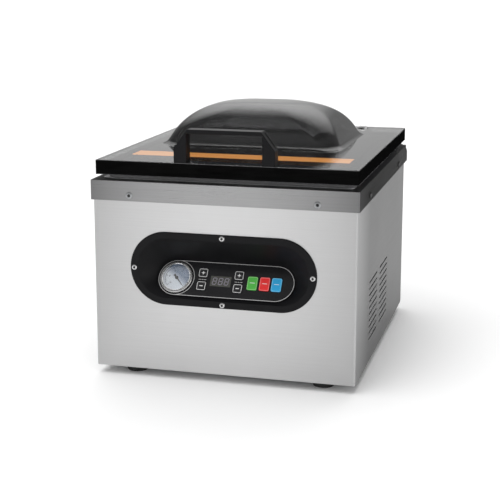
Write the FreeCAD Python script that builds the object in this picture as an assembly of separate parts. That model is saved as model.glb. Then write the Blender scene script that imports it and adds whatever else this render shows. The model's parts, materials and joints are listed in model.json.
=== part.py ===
import FreeCAD, Part
import math
import os

# Vacuum chamber sealer, in millimetres.
# X is the width, -Y is the front, Z is up. The origin is on the surface that the feet stand on,
# under the middle of the overall box.

V = FreeCAD.Vector
X_AXIS = V(1, 0, 0)
Y_AXIS = V(0, 1, 0)
Z_AXIS = V(0, 0, 1)

# ---- driving dimensions ----
BODY_W = 360.0          # body width over the side walls
BODY_D = 427.0          # body depth, front wall to rear panel
FOOT_H = 12.0           # underside of the body above the floor
WALL_H = 232.0          # visible height of the side walls
RIM_H = 27.0            # height of the rim band
RIM_PROUD = 2.6         # rim band stands out past the walls
LID_GAP = 6.0           # rim top to lid underside
LID_W = 358.0
LID_D = 433.0
LID_T = 19.6
LID_SET_BACK = 7.8      # lid front edge behind the front wall
SHEET = 1.2             # case sheet
HEAD_PROUD = 1.4        # rim screw heads stand out past the rim
DOME_H = 56.4           # dome height over the lid plate
DOME_WALL = 6.0
CHAMBER_HALF_W = 157.0
CHAMBER_D = 344.0
CHAMBER_H = 110.0
CHAMBER_SET_BACK = 46.0
SEAL_LENGTH = 300.0
PAD_LENGTH = 308.0
PAD_D = 38.0
PAD_T = 6.0
PAD_SET_BACK = 79.0
BAR_LIFT = 7.0          # seal bar stroke
CONTROL_TILT = 36.8     # control face leans back from vertical
RUNNING_FIT = 0.05      # radial clearance of shafts in their bearings

# ---- levels and places worked out from them ----
COVER_D = 14.4          # hinge cover behind the rim
REAR_EXTREME = BODY_D + RIM_PROUD + COVER_D
FRONT = -(REAR_EXTREME - RIM_PROUD - HEAD_PROUD) / 2.0
REAR = FRONT + BODY_D
HALF_W = BODY_W / 2.0
BODY_BOTTOM = FOOT_H
WALL_TOP = BODY_BOTTOM + WALL_H
RIM_TOP = WALL_TOP + RIM_H
RIM_HALF_W = HALF_W + RIM_PROUD
RIM_FRONT = FRONT - RIM_PROUD
RIM_REAR = REAR + RIM_PROUD
RIM_T = 2.2
LID_BOTTOM = RIM_TOP + LID_GAP
LID_TOP = LID_BOTTOM + LID_T
LID_FRONT = FRONT + LID_SET_BACK
LID_REAR = LID_FRONT + LID_D
FLANGE_T = 1.2
TUB_TOP = RIM_TOP + FLANGE_T
TUB_FLOOR = TUB_TOP - CHAMBER_H
TUB_T = 1.4
TUB_FRONT = FRONT + CHAMBER_SET_BACK
TUB_REAR = TUB_FRONT + CHAMBER_D
PLATE_BOTTOM = BODY_BOTTOM + SHEET
PLATE_T = 1.6
PLATE_TOP = PLATE_BOTTOM + PLATE_T
HINGE_Y = REAR + 9.5
HINGE_Z = RIM_TOP - 7.0
HINGE_X = 113.0
KNUCKLE_R = 6.0
PANEL_Z = FOOT_H + 142.6        # centre of the control bezel
FACE_CENTRE = V(0, FRONT + 17.2, FOOT_H + 126.5)
FACE_HALF = 68.5                # half distance between the face's end centres
FACE_R = 26.2
GAUGE_X = -69.3
BAR_Y = FRONT + PAD_SET_BACK + PAD_D / 2.0
BAR_TOP = LID_BOTTOM - PAD_T - BAR_LIFT - 1.0
BAR_BOTTOM = BAR_TOP - 30.0
PUMP_Y = FRONT + 312.0
PUMP_Z = 88.0
PORT_X = 28.0                   # pump inlet spigot
PORT_Z = PUMP_Z + 12.0
SPIGOT_R = 5.0
VALVE_Y = FRONT + 170.0
VALVE_X = (-10.0, 30.0)
VALVE_Z = 112.0
COIL_X = -110.0                 # sealing transformer
COIL_Y = FRONT + 130.0
BOARD_X = 105.0                 # power board
BOARD_Y = FRONT + 130.0
STANDOFF_H = 10.0
GAP = 0.3                       # usual clearance between moving pieces

# ---- chamber and seal bar ----
SUCTION_Y = TUB_REAR - 50
SUCTION_HOSE_Z = TUB_FLOOR - 14
LIFT_X = (-95.0, 95.0)
LIFT_R = 19.0
PISTON_R = 15.0
LIFT_H = 46.0
BAR_D = 24.0
WIRE_OFFSETS = (-4.0, 4.0)      # the two heating wires, from the bar's middle

# ---- lid, dome, handle and hinges ----
DOME_HALF_W = 130.0
DOME_X = -9.0                   # the dome sits a little left of the lid's middle
DOME_FRONT = FRONT + 169.0
DOME_REAR = FRONT + 369.0
DOME_CORNER = 22.0
DOME_FOOT = math.radians(38.0)  # the dome's section is the part of a superellipse above this angle
DOME_POWER = 0.50               # 1 is an ellipse, less is squarer
HANDLE_HALF = 69.0
HANDLE_D = 18.0
HANDLE_H = 44.8
HANDLE_LEG = 17.5
HANDLE_BAR = 5.6
HANDLE_X = (-HANDLE_HALF + HANDLE_LEG / 2, HANDLE_HALF - HANDLE_LEG / 2)
HANDLE_FRONT = LID_FRONT + 1.2
HANDLE_Y = HANDLE_FRONT + HANDLE_D / 2
BOLT_Y = FRONT + 424.0
ARM_W = 24.0
ARM_T = 4.0
CAP_REACH = 3.4                 # hinge bolt's end above the lid plate
LID_SWITCH_X = 60.0
LID_SWITCH_Y = FRONT + 414.0

# ---- control face ----
FACE = FreeCAD.Placement(FACE_CENTRE, FreeCAD.Rotation(X_AXIS, 90 - CONTROL_TILT))
KEY_SMALL = [(-32.7, 8.9), (-32.8, -9.9), (17.5, 8.2), (17.7, -10.5)]
KEY_TALL = [(36.9, -1.6), (53.7, -1.6), (70.0, -1.6)]
KEY_NAMES = ["key_time_plus", "key_time_minus", "key_seal_plus", "key_seal_minus",
             "key_start", "key_stop", "key_seal"]
SMALL_SIZE = (12.6, 12.6)
TALL_SIZE = (13.8, 19.2)
KEYS = [(n, x, y, SMALL_SIZE) for n, (x, y) in zip(KEY_NAMES[:4], KEY_SMALL)]
KEYS += [(n, x, y, TALL_SIZE) for n, (x, y) in zip(KEY_NAMES[4:], KEY_TALL)]
DISPLAY = (-7.1, -1.7, 28.8, 15.1)
FACE_T = 1.6
MOULD_T = 2.4
MOUTH_R = 40.6                  # bezel's mouth at the front wall
MOUTH_HALF = 78.0
NEEDLE_ANGLE = -48.0            # needle at rest, from the face's X axis

# ---- pump, along X ----
MOTOR_R = 52.0
MOTOR_X0 = -146.0
STATOR_R = 47.0
BEARING_R = 15.0
SHAFT_R = 7.0
VANE_X0 = 4.0
VANE_X1 = 52.0
ROTOR_R = 25.0
CAVITY_R = 28.0
CAVITY_SHIFT = 2.8

# ---- back panel ----
FAN_X = 92.0
FAN_Z = 96.0
FAN_SCREWS = [(FAN_X + dx * 35.75, FAN_Z + dz * 35.75) for dx in (-1, 1) for dz in (-1, 1)]
INLET_X = -120.0
INLET_Z = 60.0
SWITCH_X = -70.0
ROCKER_REST = 7.0
ROCKER_Y = REAR - 2.0

# ---- where the fasteners go ----
RIM_SCREW_Z = FOOT_H + 239.7
RIM_SCREWS = (
    [(V(x, RIM_FRONT, RIM_SCREW_Z), V(0, -1, 0)) for x in (-128, 128)]
    + [(V(side * RIM_HALF_W, FRONT + y, RIM_SCREW_Z), V(side, 0, 0)) for side in (-1, 1) for y in (84, 351)]
)
PANEL_SCREWS = [V(0, 0, PANEL_Z + 45.2), V(0, 0, PANEL_Z - 45.3),
                V(-122.5, 0, PANEL_Z - 0.6), V(122.5, 0, PANEL_Z - 0.6)]
FEET = [(x, y) for x in (-132, 132) for y in (FRONT + 31, REAR - 31)]
BASE_SCREWS = [(side * 171.5, FRONT + y) for side in (-1, 1) for y in (70, 215, 360)]
BASE_SCREWS += [(-80, FRONT + 8), (80, FRONT + 8)]
REAR_SCREWS = [(side * 171.5, z) for side in (-1, 1) for z in (40, 130, 220)]


# ---- helpers ----
def box(x0, x1, y0, y1, z0, z1):
    return Part.makeBox(x1 - x0, y1 - y0, z1 - z0, V(x0, y0, z0))


def centred_box(cx, cy, size_x, size_y, z0, z1):
    return box(cx - size_x / 2, cx + size_x / 2, cy - size_y / 2, cy + size_y / 2, z0, z1)


def rod(radius, start, direction, length):
    return Part.makeCylinder(radius, length, start, direction)


def ring(outer, inner, start, direction, length):
    return rod(outer, start, direction, length).cut(rod(inner, start, direction, length))


def joined(shapes):
    result = shapes[0].multiFuse(shapes[1:]) if len(shapes) > 1 else shapes[0]
    return result.removeSplitter()


def drilled(shape, tools):
    return shape.cut(Part.makeCompound(tools)) if tools else shape


def group(shapes):
    return Part.makeCompound(shapes)


def upright_edges(shape):
    return [e for e in shape.Edges if abs(abs(e.tangentAt(e.FirstParameter).z) - 1) < 1e-6]


def rounded_box(x0, x1, y0, y1, z0, z1, radius):
    block = box(x0, x1, y0, y1, z0, z1)
    return block.makeFillet(radius, upright_edges(block))


def stadium_wire(half, radius, centre, frame=None):
    """A stadium along local X in the plane of frame (default: the XZ plane seen from the front)."""
    left = V(-half, 0, 0)
    right = V(half, 0, 0)
    up = V(0, radius, 0)
    edges = [
        Part.makeLine(left + up, right + up),
        Part.Arc(right + up, right + V(radius, 0, 0), right - up).toShape(),
        Part.makeLine(right - up, left - up),
        Part.Arc(left - up, left - V(radius, 0, 0), left + up).toShape(),
    ]
    wire = Part.Wire(edges)
    wire.Placement = frame if frame else FreeCAD.Placement(centre, FreeCAD.Rotation(X_AXIS, 90))
    return wire


def stadium_prism(half, radius, y0, y1, z):
    """A stadium block along Y, from y0 to y1, centred at height z."""
    face = Part.Face(stadium_wire(half, radius, V(0, y0, z)))
    return face.extrude(V(0, y1 - y0, 0))


def on_face(shape):
    """Carry a shape built in the control face's own axes (X across, Y up the face, Z out) to its place."""
    placed = shape.copy()
    placed.Placement = FACE.multiply(placed.Placement)
    return placed


def face_level(depth):
    """Placement of a plane parallel to the control face, depth behind it."""
    return FACE.multiply(FreeCAD.Placement(V(0, 0, -depth), FreeCAD.Rotation()))


def face_block(x, y, size_x, size_y, z0, z1, radius):
    half_x = size_x / 2
    half_y = size_y / 2
    return on_face(rounded_box(x - half_x, x + half_x, y - half_y, y + half_y, z0, z1, radius))


def dome_head(radius, height, base, direction):
    """A low domed screw head: a cap cut from a sphere."""
    sphere_r = (radius ** 2 + height ** 2) / (2 * height)
    unit = V(direction).normalize()
    ball = Part.makeSphere(sphere_r, base + unit * (height - sphere_r))
    return ball.common(rod(radius, base, unit, height))


def hexagon(across, depth, base, direction):
    """A hexagonal prism, for a key socket or a nut."""
    corner = across / math.sqrt(3)
    points = [V(corner * math.cos(math.radians(60 * i)), corner * math.sin(math.radians(60 * i)), 0)
              for i in range(7)]
    prism = Part.Face(Part.makePolygon(points)).extrude(V(0, 0, depth))
    prism.Placement = FreeCAD.Placement(base, FreeCAD.Rotation(Z_AXIS, direction))
    return prism


# ---- case ----
def body_wrap():
    inner = SHEET
    shell = rounded_box(-HALF_W, HALF_W, FRONT, REAR + 20, BODY_BOTTOM, RIM_TOP - RIM_T - 0.2, 3.0)
    shell = shell.cut(rounded_box(-HALF_W + inner, HALF_W - inner, FRONT + inner, REAR + 30,
                                  BODY_BOTTOM - 1, RIM_TOP + 1, 1.8))
    shell = shell.cut(box(-HALF_W - 1, HALF_W + 1, REAR, REAR + 40, 0, RIM_TOP + 5))
    lip = 14.0
    bottom_lips = [
        box(-HALF_W + 1, HALF_W - 1, FRONT + 1, FRONT + lip, BODY_BOTTOM, BODY_BOTTOM + SHEET),
    ] + [box(min(s * (HALF_W - 1), s * (HALF_W - lip)), max(s * (HALF_W - 1), s * (HALF_W - lip)),
             FRONT + 1, REAR - 2, BODY_BOTTOM, BODY_BOTTOM + SHEET) for s in (-1, 1)]
    rear_lips = [box(min(s * (HALF_W - 1), s * (HALF_W - lip)), max(s * (HALF_W - 1), s * (HALF_W - lip)),
                     REAR - 2 * SHEET, REAR - SHEET, PLATE_TOP + 1, RIM_TOP - RIM_T - 8) for s in (-1, 1)]
    wrap = joined([shell] + bottom_lips + rear_lips)
    holes = [stadium_prism(78.0, 42.8, FRONT - 5, FRONT + 5, PANEL_Z)]
    holes += [rod(1.5, V(p.x, FRONT - 5, p.z), Y_AXIS, 10) for p in PANEL_SCREWS]
    holes += [rod(2.1, V(x, y, 0), Z_AXIS, 30) for x, y in BASE_SCREWS]
    holes += [rod(1.6, V(x, REAR - 6, z), Y_AXIS, 12) for x, z in REAR_SCREWS]
    holes += [rod(2.1, base - out * 8, out, 12) for base, out in RIM_SCREWS]
    holes += vent_slots()
    return drilled(wrap, holes)


def vent_slots():
    """Two columns of ten horizontal slots, through both side walls."""
    pitch = 9.03
    first = FOOT_H + 32.0
    columns = [(FRONT + 103.5, FRONT + 171.0), (FRONT + 194.0, FRONT + 263.5)]
    slot_h = 2.6
    slots = []
    for y0, y1 in columns:
        for row in range(10):
            z = first + row * pitch
            cutter = box(-HALF_W - 5, HALF_W + 5, y0, y1, z - slot_h / 2, z + slot_h / 2)
            ends = [e for e in cutter.Edges if e.Length > BODY_W]
            slots.append(cutter.makeFillet(slot_h / 2 - 0.05, ends))
    return slots


def base_plate():
    plate = box(-HALF_W + 2.5, HALF_W - 2.5, FRONT + 2.5, REAR - 2.6, PLATE_BOTTOM, PLATE_TOP)
    lip = box(-HALF_W + 18, HALF_W - 18, REAR - 4.2, REAR - 2.6, PLATE_BOTTOM, PLATE_TOP + 14)
    holes = [rod(2.1, V(x, y, 0), Z_AXIS, 30) for x, y in BASE_SCREWS]
    holes += [rod(2.6, V(x, y, 0), Z_AXIS, 30) for x, y in FEET]
    for column in range(-3, 4):
        for row in range(6):
            cutter = centred_box(column * 16.0 + 92, FRONT + 232 + row * 14, 3.2, 10.0, 0, 30)
            holes.append(cutter)
    studs = [rod(3.5, V(BOARD_X + dx * 46, BOARD_Y + dy * 56, PLATE_TOP), Z_AXIS, STANDOFF_H)
             for dx in (-1, 1) for dy in (-1, 1)]
    return drilled(joined([plate, lip] + studs), holes)


def feet():
    pads = []
    for x, y in FEET:
        pad = Part.makeCone(15.0, 16.5, PLATE_BOTTOM - 2.0, V(x, y, 2.0), Z_AXIS)
        pad = pad.fuse(Part.makeCone(14.0, 15.0, 2.0, V(x, y, 0), Z_AXIS))
        pad = pad.removeSplitter()
        pad = pad.cut(rod(6.5, V(x, y, -1), Z_AXIS, 7)).cut(rod(2.6, V(x, y, 0), Z_AXIS, 20))
        pads.append(pad)
    return group(pads)


def rear_panel():
    half = HALF_W - SHEET - 0.3
    panel = box(-half, half, REAR - SHEET, REAR, BODY_BOTTOM, RIM_TOP - RIM_T - 0.4)
    holes = [rod(1.6, V(x, REAR - 6, z), Y_AXIS, 12) for x, z in REAR_SCREWS + FAN_SCREWS]
    holes.append(box(INLET_X - 14, INLET_X + 14, REAR - 5, REAR + 5, INLET_Z - 12, INLET_Z + 12))
    holes.append(box(SWITCH_X - 7, SWITCH_X + 7, REAR - 5, REAR + 5, INLET_Z - 11, INLET_Z + 11))
    for ring_index in range(1, 6):
        radius = ring_index * 6.4
        count = ring_index * 6
        for i in range(count):
            angle = 2 * math.pi * i / count
            spot = V(FAN_X + radius * math.cos(angle), REAR - 6, FAN_Z + radius * math.sin(angle))
            holes.append(rod(2.3, spot, Y_AXIS, 12))
    return drilled(panel, holes)


def rim_frame():
    band = box(-RIM_HALF_W, RIM_HALF_W, RIM_FRONT, RIM_REAR, WALL_TOP, RIM_TOP)
    band = band.makeFillet(0.8, upright_edges(band))
    top_edges = [e for e in band.Edges if abs(e.CenterOfMass.z - RIM_TOP) < 0.01]
    band = band.makeFillet(0.5, top_edges)
    hollow = box(-HALF_W - 0.3, HALF_W + 0.3, FRONT - 0.3, REAR + 0.3, WALL_TOP - 1, RIM_TOP - RIM_T)
    mouth = rounded_box(-CHAMBER_HALF_W - 4, CHAMBER_HALF_W + 4, TUB_FRONT - 4, TUB_REAR + 4,
                        WALL_TOP, RIM_TOP + 5, 22)
    holes = [rod(2.1, base - out * 8, out, 12) for base, out in RIM_SCREWS]
    holes.append(rod(2.6, V(LID_SWITCH_X, LID_SWITCH_Y, RIM_TOP - 10), Z_AXIS, 20))
    seam = 0.5
    for side in (-1, 1):
        x0 = min(side * RIM_HALF_W, side * (RIM_HALF_W - seam))
        holes.append(box(x0, x0 + seam, RIM_FRONT + 2.4, RIM_FRONT + 2.9, WALL_TOP - 1, RIM_TOP + 1))
    return drilled(band.cut(hollow).cut(mouth), holes)


def rim_screws():
    screws = []
    for base, out in RIM_SCREWS:
        socket = hexagon(2.5, 0.9, base + out * (HEAD_PROUD + 0.1), out * -1)
        head = dome_head(4.5, HEAD_PROUD, base, out).cut(socket)
        screws.append(joined([head, rod(2.0, base, out * -1, 7)]))
    return group(screws)


def case_screws():
    """Domed socket screws under the base and on the back, and the foot bolts with their nuts."""
    screws = []
    for x, y in BASE_SCREWS:
        base = V(x, y, BODY_BOTTOM)
        head = dome_head(3.6, 1.8, base, V(0, 0, -1)).cut(hexagon(2.0, 1.2, base - V(0, 0, 1.9), Z_AXIS))
        screws.append(joined([head, rod(2.0, base, Z_AXIS, 7)]))
    lengths = [7.0] * len(REAR_SCREWS) + [26.0] * len(FAN_SCREWS)
    for (x, z), length in zip(REAR_SCREWS + FAN_SCREWS, lengths):
        base = V(x, REAR, z)
        head = dome_head(3.2, 1.8, base, Y_AXIS).cut(hexagon(2.0, 1.2, base + V(0, 1.9, 0), V(0, -1, 0)))
        screws.append(joined([head, rod(1.5, base, V(0, -1, 0), length)]))
    for x, y in FEET:
        base = V(x, y, 6.0)
        head = dome_head(5.0, 2.8, base, V(0, 0, -1)).cut(hexagon(3.0, 1.6, V(x, y, 3.0), Z_AXIS))
        screws.append(joined([head, rod(2.5, base, Z_AXIS, 15)]))
        screws.append(hexagon(8.0, 4.0, V(x, y, PLATE_TOP), Z_AXIS).cut(rod(2.5, V(x, y, 0), Z_AXIS, 40)))
    return group(screws)


# ---- chamber ----
def chamber_tub():
    outer = rounded_box(-CHAMBER_HALF_W - TUB_T, CHAMBER_HALF_W + TUB_T, TUB_FRONT - TUB_T, TUB_REAR + TUB_T,
                        TUB_FLOOR - TUB_T, TUB_TOP, 20 + TUB_T)
    low = [e for e in outer.Edges if abs(e.CenterOfMass.z - (TUB_FLOOR - TUB_T)) < 0.01]
    outer = outer.makeFillet(12 + TUB_T, low)
    inner = rounded_box(-CHAMBER_HALF_W, CHAMBER_HALF_W, TUB_FRONT, TUB_REAR, TUB_FLOOR, TUB_TOP + 5, 20)
    low = [e for e in inner.Edges if abs(e.CenterOfMass.z - TUB_FLOOR) < 0.01]
    inner = inner.makeFillet(12, low)
    flange = rounded_box(-172, 172, FRONT + 14, FRONT + 406, RIM_TOP, TUB_TOP, 8)
    ports = [rod(7.05, V(0, SUCTION_Y, TUB_FLOOR - 5), Z_AXIS, 10)]
    ports += [rod(6.05, V(x, BAR_Y, TUB_FLOOR - 5), Z_AXIS, 10) for x in LIFT_X]
    return drilled(joined([outer, flange]).cut(inner), ports)


def chamber_gasket():
    """Ribbed sealing ring on the chamber flange: a thick base with three lips."""
    half_out = 168.0
    width = 8.4
    y0 = FRONT + 18
    y1 = FRONT + 402
    lid_clearance = 0.4
    levels = [(0.0, width, 2.0), (0.0, 1.8, 0.0), (3.3, 5.1, 0.0), (6.6, width, 0.0)]
    top = LID_BOTTOM - lid_clearance
    parts = []
    for inset0, inset1, height in levels:
        z1 = TUB_TOP + height if height else top
        outer = rounded_box(-half_out + inset0, half_out - inset0, y0 + inset0, y1 - inset0,
                            TUB_TOP, z1, 16 - inset0)
        inner = rounded_box(-half_out + inset1, half_out - inset1, y0 + inset1, y1 - inset1,
                            TUB_TOP - 1, z1 + 1, 16 - inset1)
        parts.append(outer.cut(inner))
    return joined(parts)


def suction_fitting():
    """Strainer in the chamber floor, with an elbow below it for the hose."""
    base = V(0, SUCTION_Y, TUB_FLOOR)
    level = SUCTION_HOSE_Z
    fitting = joined([rod(14, base, Z_AXIS, 4),
                      rod(7.0, V(0, SUCTION_Y, level - 7), Z_AXIS, TUB_FLOOR - level + 7),
                      rod(SPIGOT_R, V(0, SUCTION_Y - 26, level), Y_AXIS, 26)])
    holes = [rod(3.2, V(0, SUCTION_Y, level), Z_AXIS, TUB_FLOOR - level + 2),
             rod(3.2, V(0, SUCTION_Y - 30, level), Y_AXIS, 31)]
    for angle in range(0, 360, 45):
        turn = math.radians(angle)
        holes.append(rod(1.0, base + V(2.0 * math.cos(turn), 2.0 * math.sin(turn), 1.0), Z_AXIS, 5))
    return drilled(fitting, holes)


def lift_cylinders():
    """Two upright cylinders on the chamber floor, each closed by a cap that guides the piston rod."""
    cans = []
    for x in LIFT_X:
        base = V(x, BAR_Y, TUB_FLOOR)
        can = joined([rod(LIFT_R, base, Z_AXIS, LIFT_H), rod(6.0, base - V(0, 0, 12), Z_AXIS, 12),
                      rod(LIFT_R + 4, base, Z_AXIS, 3)])
        holes = [rod(PISTON_R + RUNNING_FIT, base + V(0, 0, 8), Z_AXIS, LIFT_H - 14),
                 rod(4.0 + RUNNING_FIT, base + V(0, 0, LIFT_H - 8), Z_AXIS, 10),
                 rod(2.5, base - V(0, 0, 13), Z_AXIS, 24)]
        cans.append(drilled(can, holes))
    return group(cans)


def lift_pistons():
    pistons = []
    for x in LIFT_X:
        base = V(x, BAR_Y, TUB_FLOOR + 10)
        pistons.append(joined([rod(PISTON_R, base, Z_AXIS, 9),
                               rod(4.0, base, Z_AXIS, BAR_BOTTOM + 6 - base.z)]))
    return group(pistons)


def seal_bar():
    """Extruded bar with a slot under each side for the bag and sockets for the piston rods."""
    half = SEAL_LENGTH / 2
    bar = box(-half, half, BAR_Y - BAR_D / 2, BAR_Y + BAR_D / 2, BAR_BOTTOM, BAR_TOP - 1.0)
    along = [e for e in bar.Edges if e.Length > SEAL_LENGTH - 1 and e.CenterOfMass.z > BAR_TOP - 2]
    bar = bar.makeFillet(1.5, along)
    cuts = [rod(4.0, V(x, BAR_Y, BAR_BOTTOM - 1), Z_AXIS, 7) for x in LIFT_X]
    for side in (-1, 1):
        y0 = BAR_Y + side * BAR_D / 2
        cuts.append(box(-SEAL_LENGTH, SEAL_LENGTH, min(y0, y0 - side * 3), max(y0, y0 - side * 3),
                        BAR_BOTTOM + 10, BAR_BOTTOM + 16))
    return drilled(bar, cuts)


def heating_wires():
    top = BAR_TOP - 1.0
    half = SEAL_LENGTH / 2 - 4
    return group([box(-half, half, BAR_Y + offset - 1.3, BAR_Y + offset + 1.3, top, top + 0.4)
                  for offset in WIRE_OFFSETS])


def heating_cover():
    """Glass cloth tape over the wires."""
    top = BAR_TOP - 1.0
    tape = box(-SEAL_LENGTH / 2 + 3, SEAL_LENGTH / 2 - 3, BAR_Y - 10, BAR_Y + 10, top, top + 0.7)
    under = [box(-SEAL_LENGTH, SEAL_LENGTH, BAR_Y + offset - 1.3, BAR_Y + offset + 1.3, top - 1, top + 0.4)
             for offset in WIRE_OFFSETS]
    return drilled(tape, under)


def bar_terminals():
    """Brass clamp at each end of the bar that holds the wires tight."""
    clamps = []
    for side in (-1, 1):
        x0 = side * (SEAL_LENGTH / 2)
        x1 = side * (SEAL_LENGTH / 2 + 4)
        clamp = box(min(x0, x1), max(x0, x1), BAR_Y - 8, BAR_Y + 8, BAR_BOTTOM + 8, BAR_TOP - 2)
        screw = rod(2.5, V(x1, BAR_Y, BAR_BOTTOM + 17), V(side, 0, 0), 1.4)
        clamps.append(joined([clamp, screw]))
    return group(clamps)


# ---- lid ----
def dome_solid(inset, height, z):
    """Pillow-shaped dome: rounded rectangles whose sides draw in along a superellipse's upper part."""
    half_x = DOME_HALF_W - inset
    half_y = (DOME_REAR - DOME_FRONT) / 2 - inset
    mid_y = (DOME_FRONT + DOME_REAR) / 2
    crown = math.radians(88.0)
    low = math.sin(DOME_FOOT) ** DOME_POWER
    high = math.sin(crown) ** DOME_POWER
    levels = 12
    wires = []
    for i in range(levels):
        phi = DOME_FOOT + (crown - DOME_FOOT) * i / (levels - 1)
        rise = (math.sin(phi) ** DOME_POWER - low) / (high - low)
        shrink = (math.cos(phi) / math.cos(DOME_FOOT)) ** DOME_POWER
        a = half_x * shrink
        b = half_y * shrink
        corner = min(DOME_CORNER + (1 - shrink) * 1.2 * min(a, b), 0.9 * min(a, b))
        wires.append(rounded_rectangle(a, b, corner, mid_y, z + height * rise))
    return Part.makeLoft(wires, True, True)


def rounded_rectangle(a, b, r, mid_y, z):
    k = r * (1 - math.sqrt(0.5))
    edges = []
    corners = [(1, 1), (-1, 1), (-1, -1), (1, -1)]
    spans = [(V(a, -b + r, 0), V(a, b - r, 0)), (V(a - r, b, 0), V(-a + r, b, 0)),
             (V(-a, b - r, 0), V(-a, -b + r, 0)), (V(-a + r, -b, 0), V(a - r, -b, 0))]
    for i in range(4):
        sx, sy = corners[i]
        edges.append(Part.makeLine(spans[i][0], spans[i][1]))
        middle = V(sx * (a - k), sy * (b - k), 0)
        edges.append(Part.Arc(spans[i][1], middle, spans[(i + 1) % 4][0]).toShape())
    wire = Part.Wire(edges)
    wire.translate(V(DOME_X, mid_y, z))
    return wire


def lid_cover():
    plate = box(-LID_W / 2, LID_W / 2, LID_FRONT, LID_REAR, LID_BOTTOM, LID_TOP)
    plate = plate.makeFillet(0.8, plate.Edges)
    sunk = 0.5
    shell = plate.fuse(dome_solid(0, DOME_H + sunk, LID_TOP - sunk))
    hollow = dome_solid(DOME_WALL, DOME_H - DOME_WALL, LID_TOP)
    well = rounded_rectangle(DOME_HALF_W - DOME_WALL, (DOME_REAR - DOME_FRONT) / 2 - DOME_WALL, DOME_CORNER,
                             (DOME_FRONT + DOME_REAR) / 2, LID_BOTTOM - 1)
    well_block = Part.Face(well).extrude(V(0, 0, LID_T + 1.0))
    shell = shell.cut(well_block).cut(hollow)
    holes = [rod(3.2, V(x, HANDLE_Y, LID_BOTTOM - 1), Z_AXIS, LID_T + 2) for x in HANDLE_X]
    holes += [rod(6.2, V(x, HANDLE_Y, LID_BOTTOM - 1), Z_AXIS, 7) for x in HANDLE_X]
    holes += [rod(3.2, V(x, BOLT_Y, LID_BOTTOM - 1), Z_AXIS, LID_T + 2) for x in (-HINGE_X, HINGE_X)]
    return drilled(shell, holes)


def lid_handle():
    """Bridge handle whose outer top corners are cut by long chamfers with a sunk field in each."""
    z0 = LID_TOP
    z1 = LID_TOP + HANDLE_H
    cut_x = 19.0
    cut_z = 25.0
    y0 = HANDLE_FRONT
    outline = [V(-HANDLE_HALF, y0, z0), V(-HANDLE_HALF, y0, z1 - cut_z), V(-HANDLE_HALF + cut_x, y0, z1),
               V(HANDLE_HALF - cut_x, y0, z1), V(HANDLE_HALF, y0, z1 - cut_z), V(HANDLE_HALF, y0, z0)]
    block = Part.Face(Part.makePolygon(outline + [outline[0]])).extrude(V(0, HANDLE_D, 0))
    opening = box(-HANDLE_HALF + HANDLE_LEG, HANDLE_HALF - HANDLE_LEG, y0 - 5, y0 + HANDLE_D + 5,
                  z0 - 5, z1 - HANDLE_BAR)
    handle = block.cut(opening)
    handle = handle.makeFillet(0.9, [e for e in handle.Edges if e.CenterOfMass.z > z0 + 0.5])
    slope = math.hypot(cut_x, cut_z)
    cuts = [rod(2.6, V(x, HANDLE_Y, z0 - 1), Z_AXIS, 15) for x in HANDLE_X]
    field_x = slope / 2 - 3
    field_y = HANDLE_D / 2 - 2.6
    for side in (-1, 1):
        field = rounded_box(-field_x, field_x, -field_y, field_y, -0.8, 2.0, 1.6)
        turn = math.degrees(math.atan2(cut_z, cut_x))
        middle = V(side * (HANDLE_HALF - cut_x / 2), HANDLE_Y, z1 - cut_z / 2)
        field.Placement = FreeCAD.Placement(middle, FreeCAD.Rotation(Y_AXIS, side * turn))
        cuts.append(field)
    return drilled(handle, cuts)


def pressure_pad():
    y0 = FRONT + PAD_SET_BACK
    pad = box(-PAD_LENGTH / 2, PAD_LENGTH / 2, y0, y0 + PAD_D, LID_BOTTOM - PAD_T, LID_BOTTOM)
    low = [e for e in pad.Edges if e.Length > 300 and e.CenterOfMass.z < LID_BOTTOM - 1]
    return pad.makeFillet(1.5, low)


def hinge_arms():
    """Plate bolted under the lid, with a web and knuckle that turn on the hinge pin."""
    arms = []
    for x in (-HINGE_X, HINGE_X):
        x0 = x - ARM_W / 2
        plate = box(x0, x0 + ARM_W, FRONT + 411, HINGE_Y + 5.0, LID_BOTTOM - ARM_T, LID_BOTTOM)
        web = box(x0, x0 + ARM_W, HINGE_Y - 4.0, HINGE_Y + 5.0, HINGE_Z, LID_BOTTOM)
        knuckle = rod(KNUCKLE_R, V(x0, HINGE_Y, HINGE_Z), X_AXIS, ARM_W)
        arm = joined([plate, web, knuckle])
        holes = [rod(3.0 + RUNNING_FIT, V(x0 - 1, HINGE_Y, HINGE_Z), X_AXIS, ARM_W + 2),
                 rod(3.2, V(x, BOLT_Y, LID_BOTTOM - 10), Z_AXIS, 20)]
        arms.append(drilled(arm, holes))
    return group(arms)


def hinge_brackets():
    """Two ears at each hinge, on a foot plate screwed to the back of the rim."""
    brackets = []
    ear = 4.0
    for x in (-HINGE_X, HINGE_X):
        pieces = []
        outer = ARM_W / 2 + GAP + ear
        for side in (-1, 1):
            x0 = min(x + side * outer, x + side * (outer - ear))
            pieces.append(rod(KNUCKLE_R, V(x0, HINGE_Y, HINGE_Z), X_AXIS, ear))
            pieces.append(box(x0, x0 + ear, RIM_REAR, HINGE_Y, HINGE_Z - 12, HINGE_Z + 4))
        pieces.append(box(x - outer, x + outer, RIM_REAR, RIM_REAR + 3.0,
                          WALL_TOP + 0.5, HINGE_Z - KNUCKLE_R - 1.0))
        bracket = joined(pieces)
        brackets.append(bracket.cut(rod(3.0, V(x - 30, HINGE_Y, HINGE_Z), X_AXIS, 60)))
    return group(brackets)


def hinge_pins():
    length = ARM_W + 2 * GAP + 8 + 3
    return group([rod(3.0, V(x - length / 2, HINGE_Y, HINGE_Z), X_AXIS, length)
                  for x in (-HINGE_X, HINGE_X)])


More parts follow.
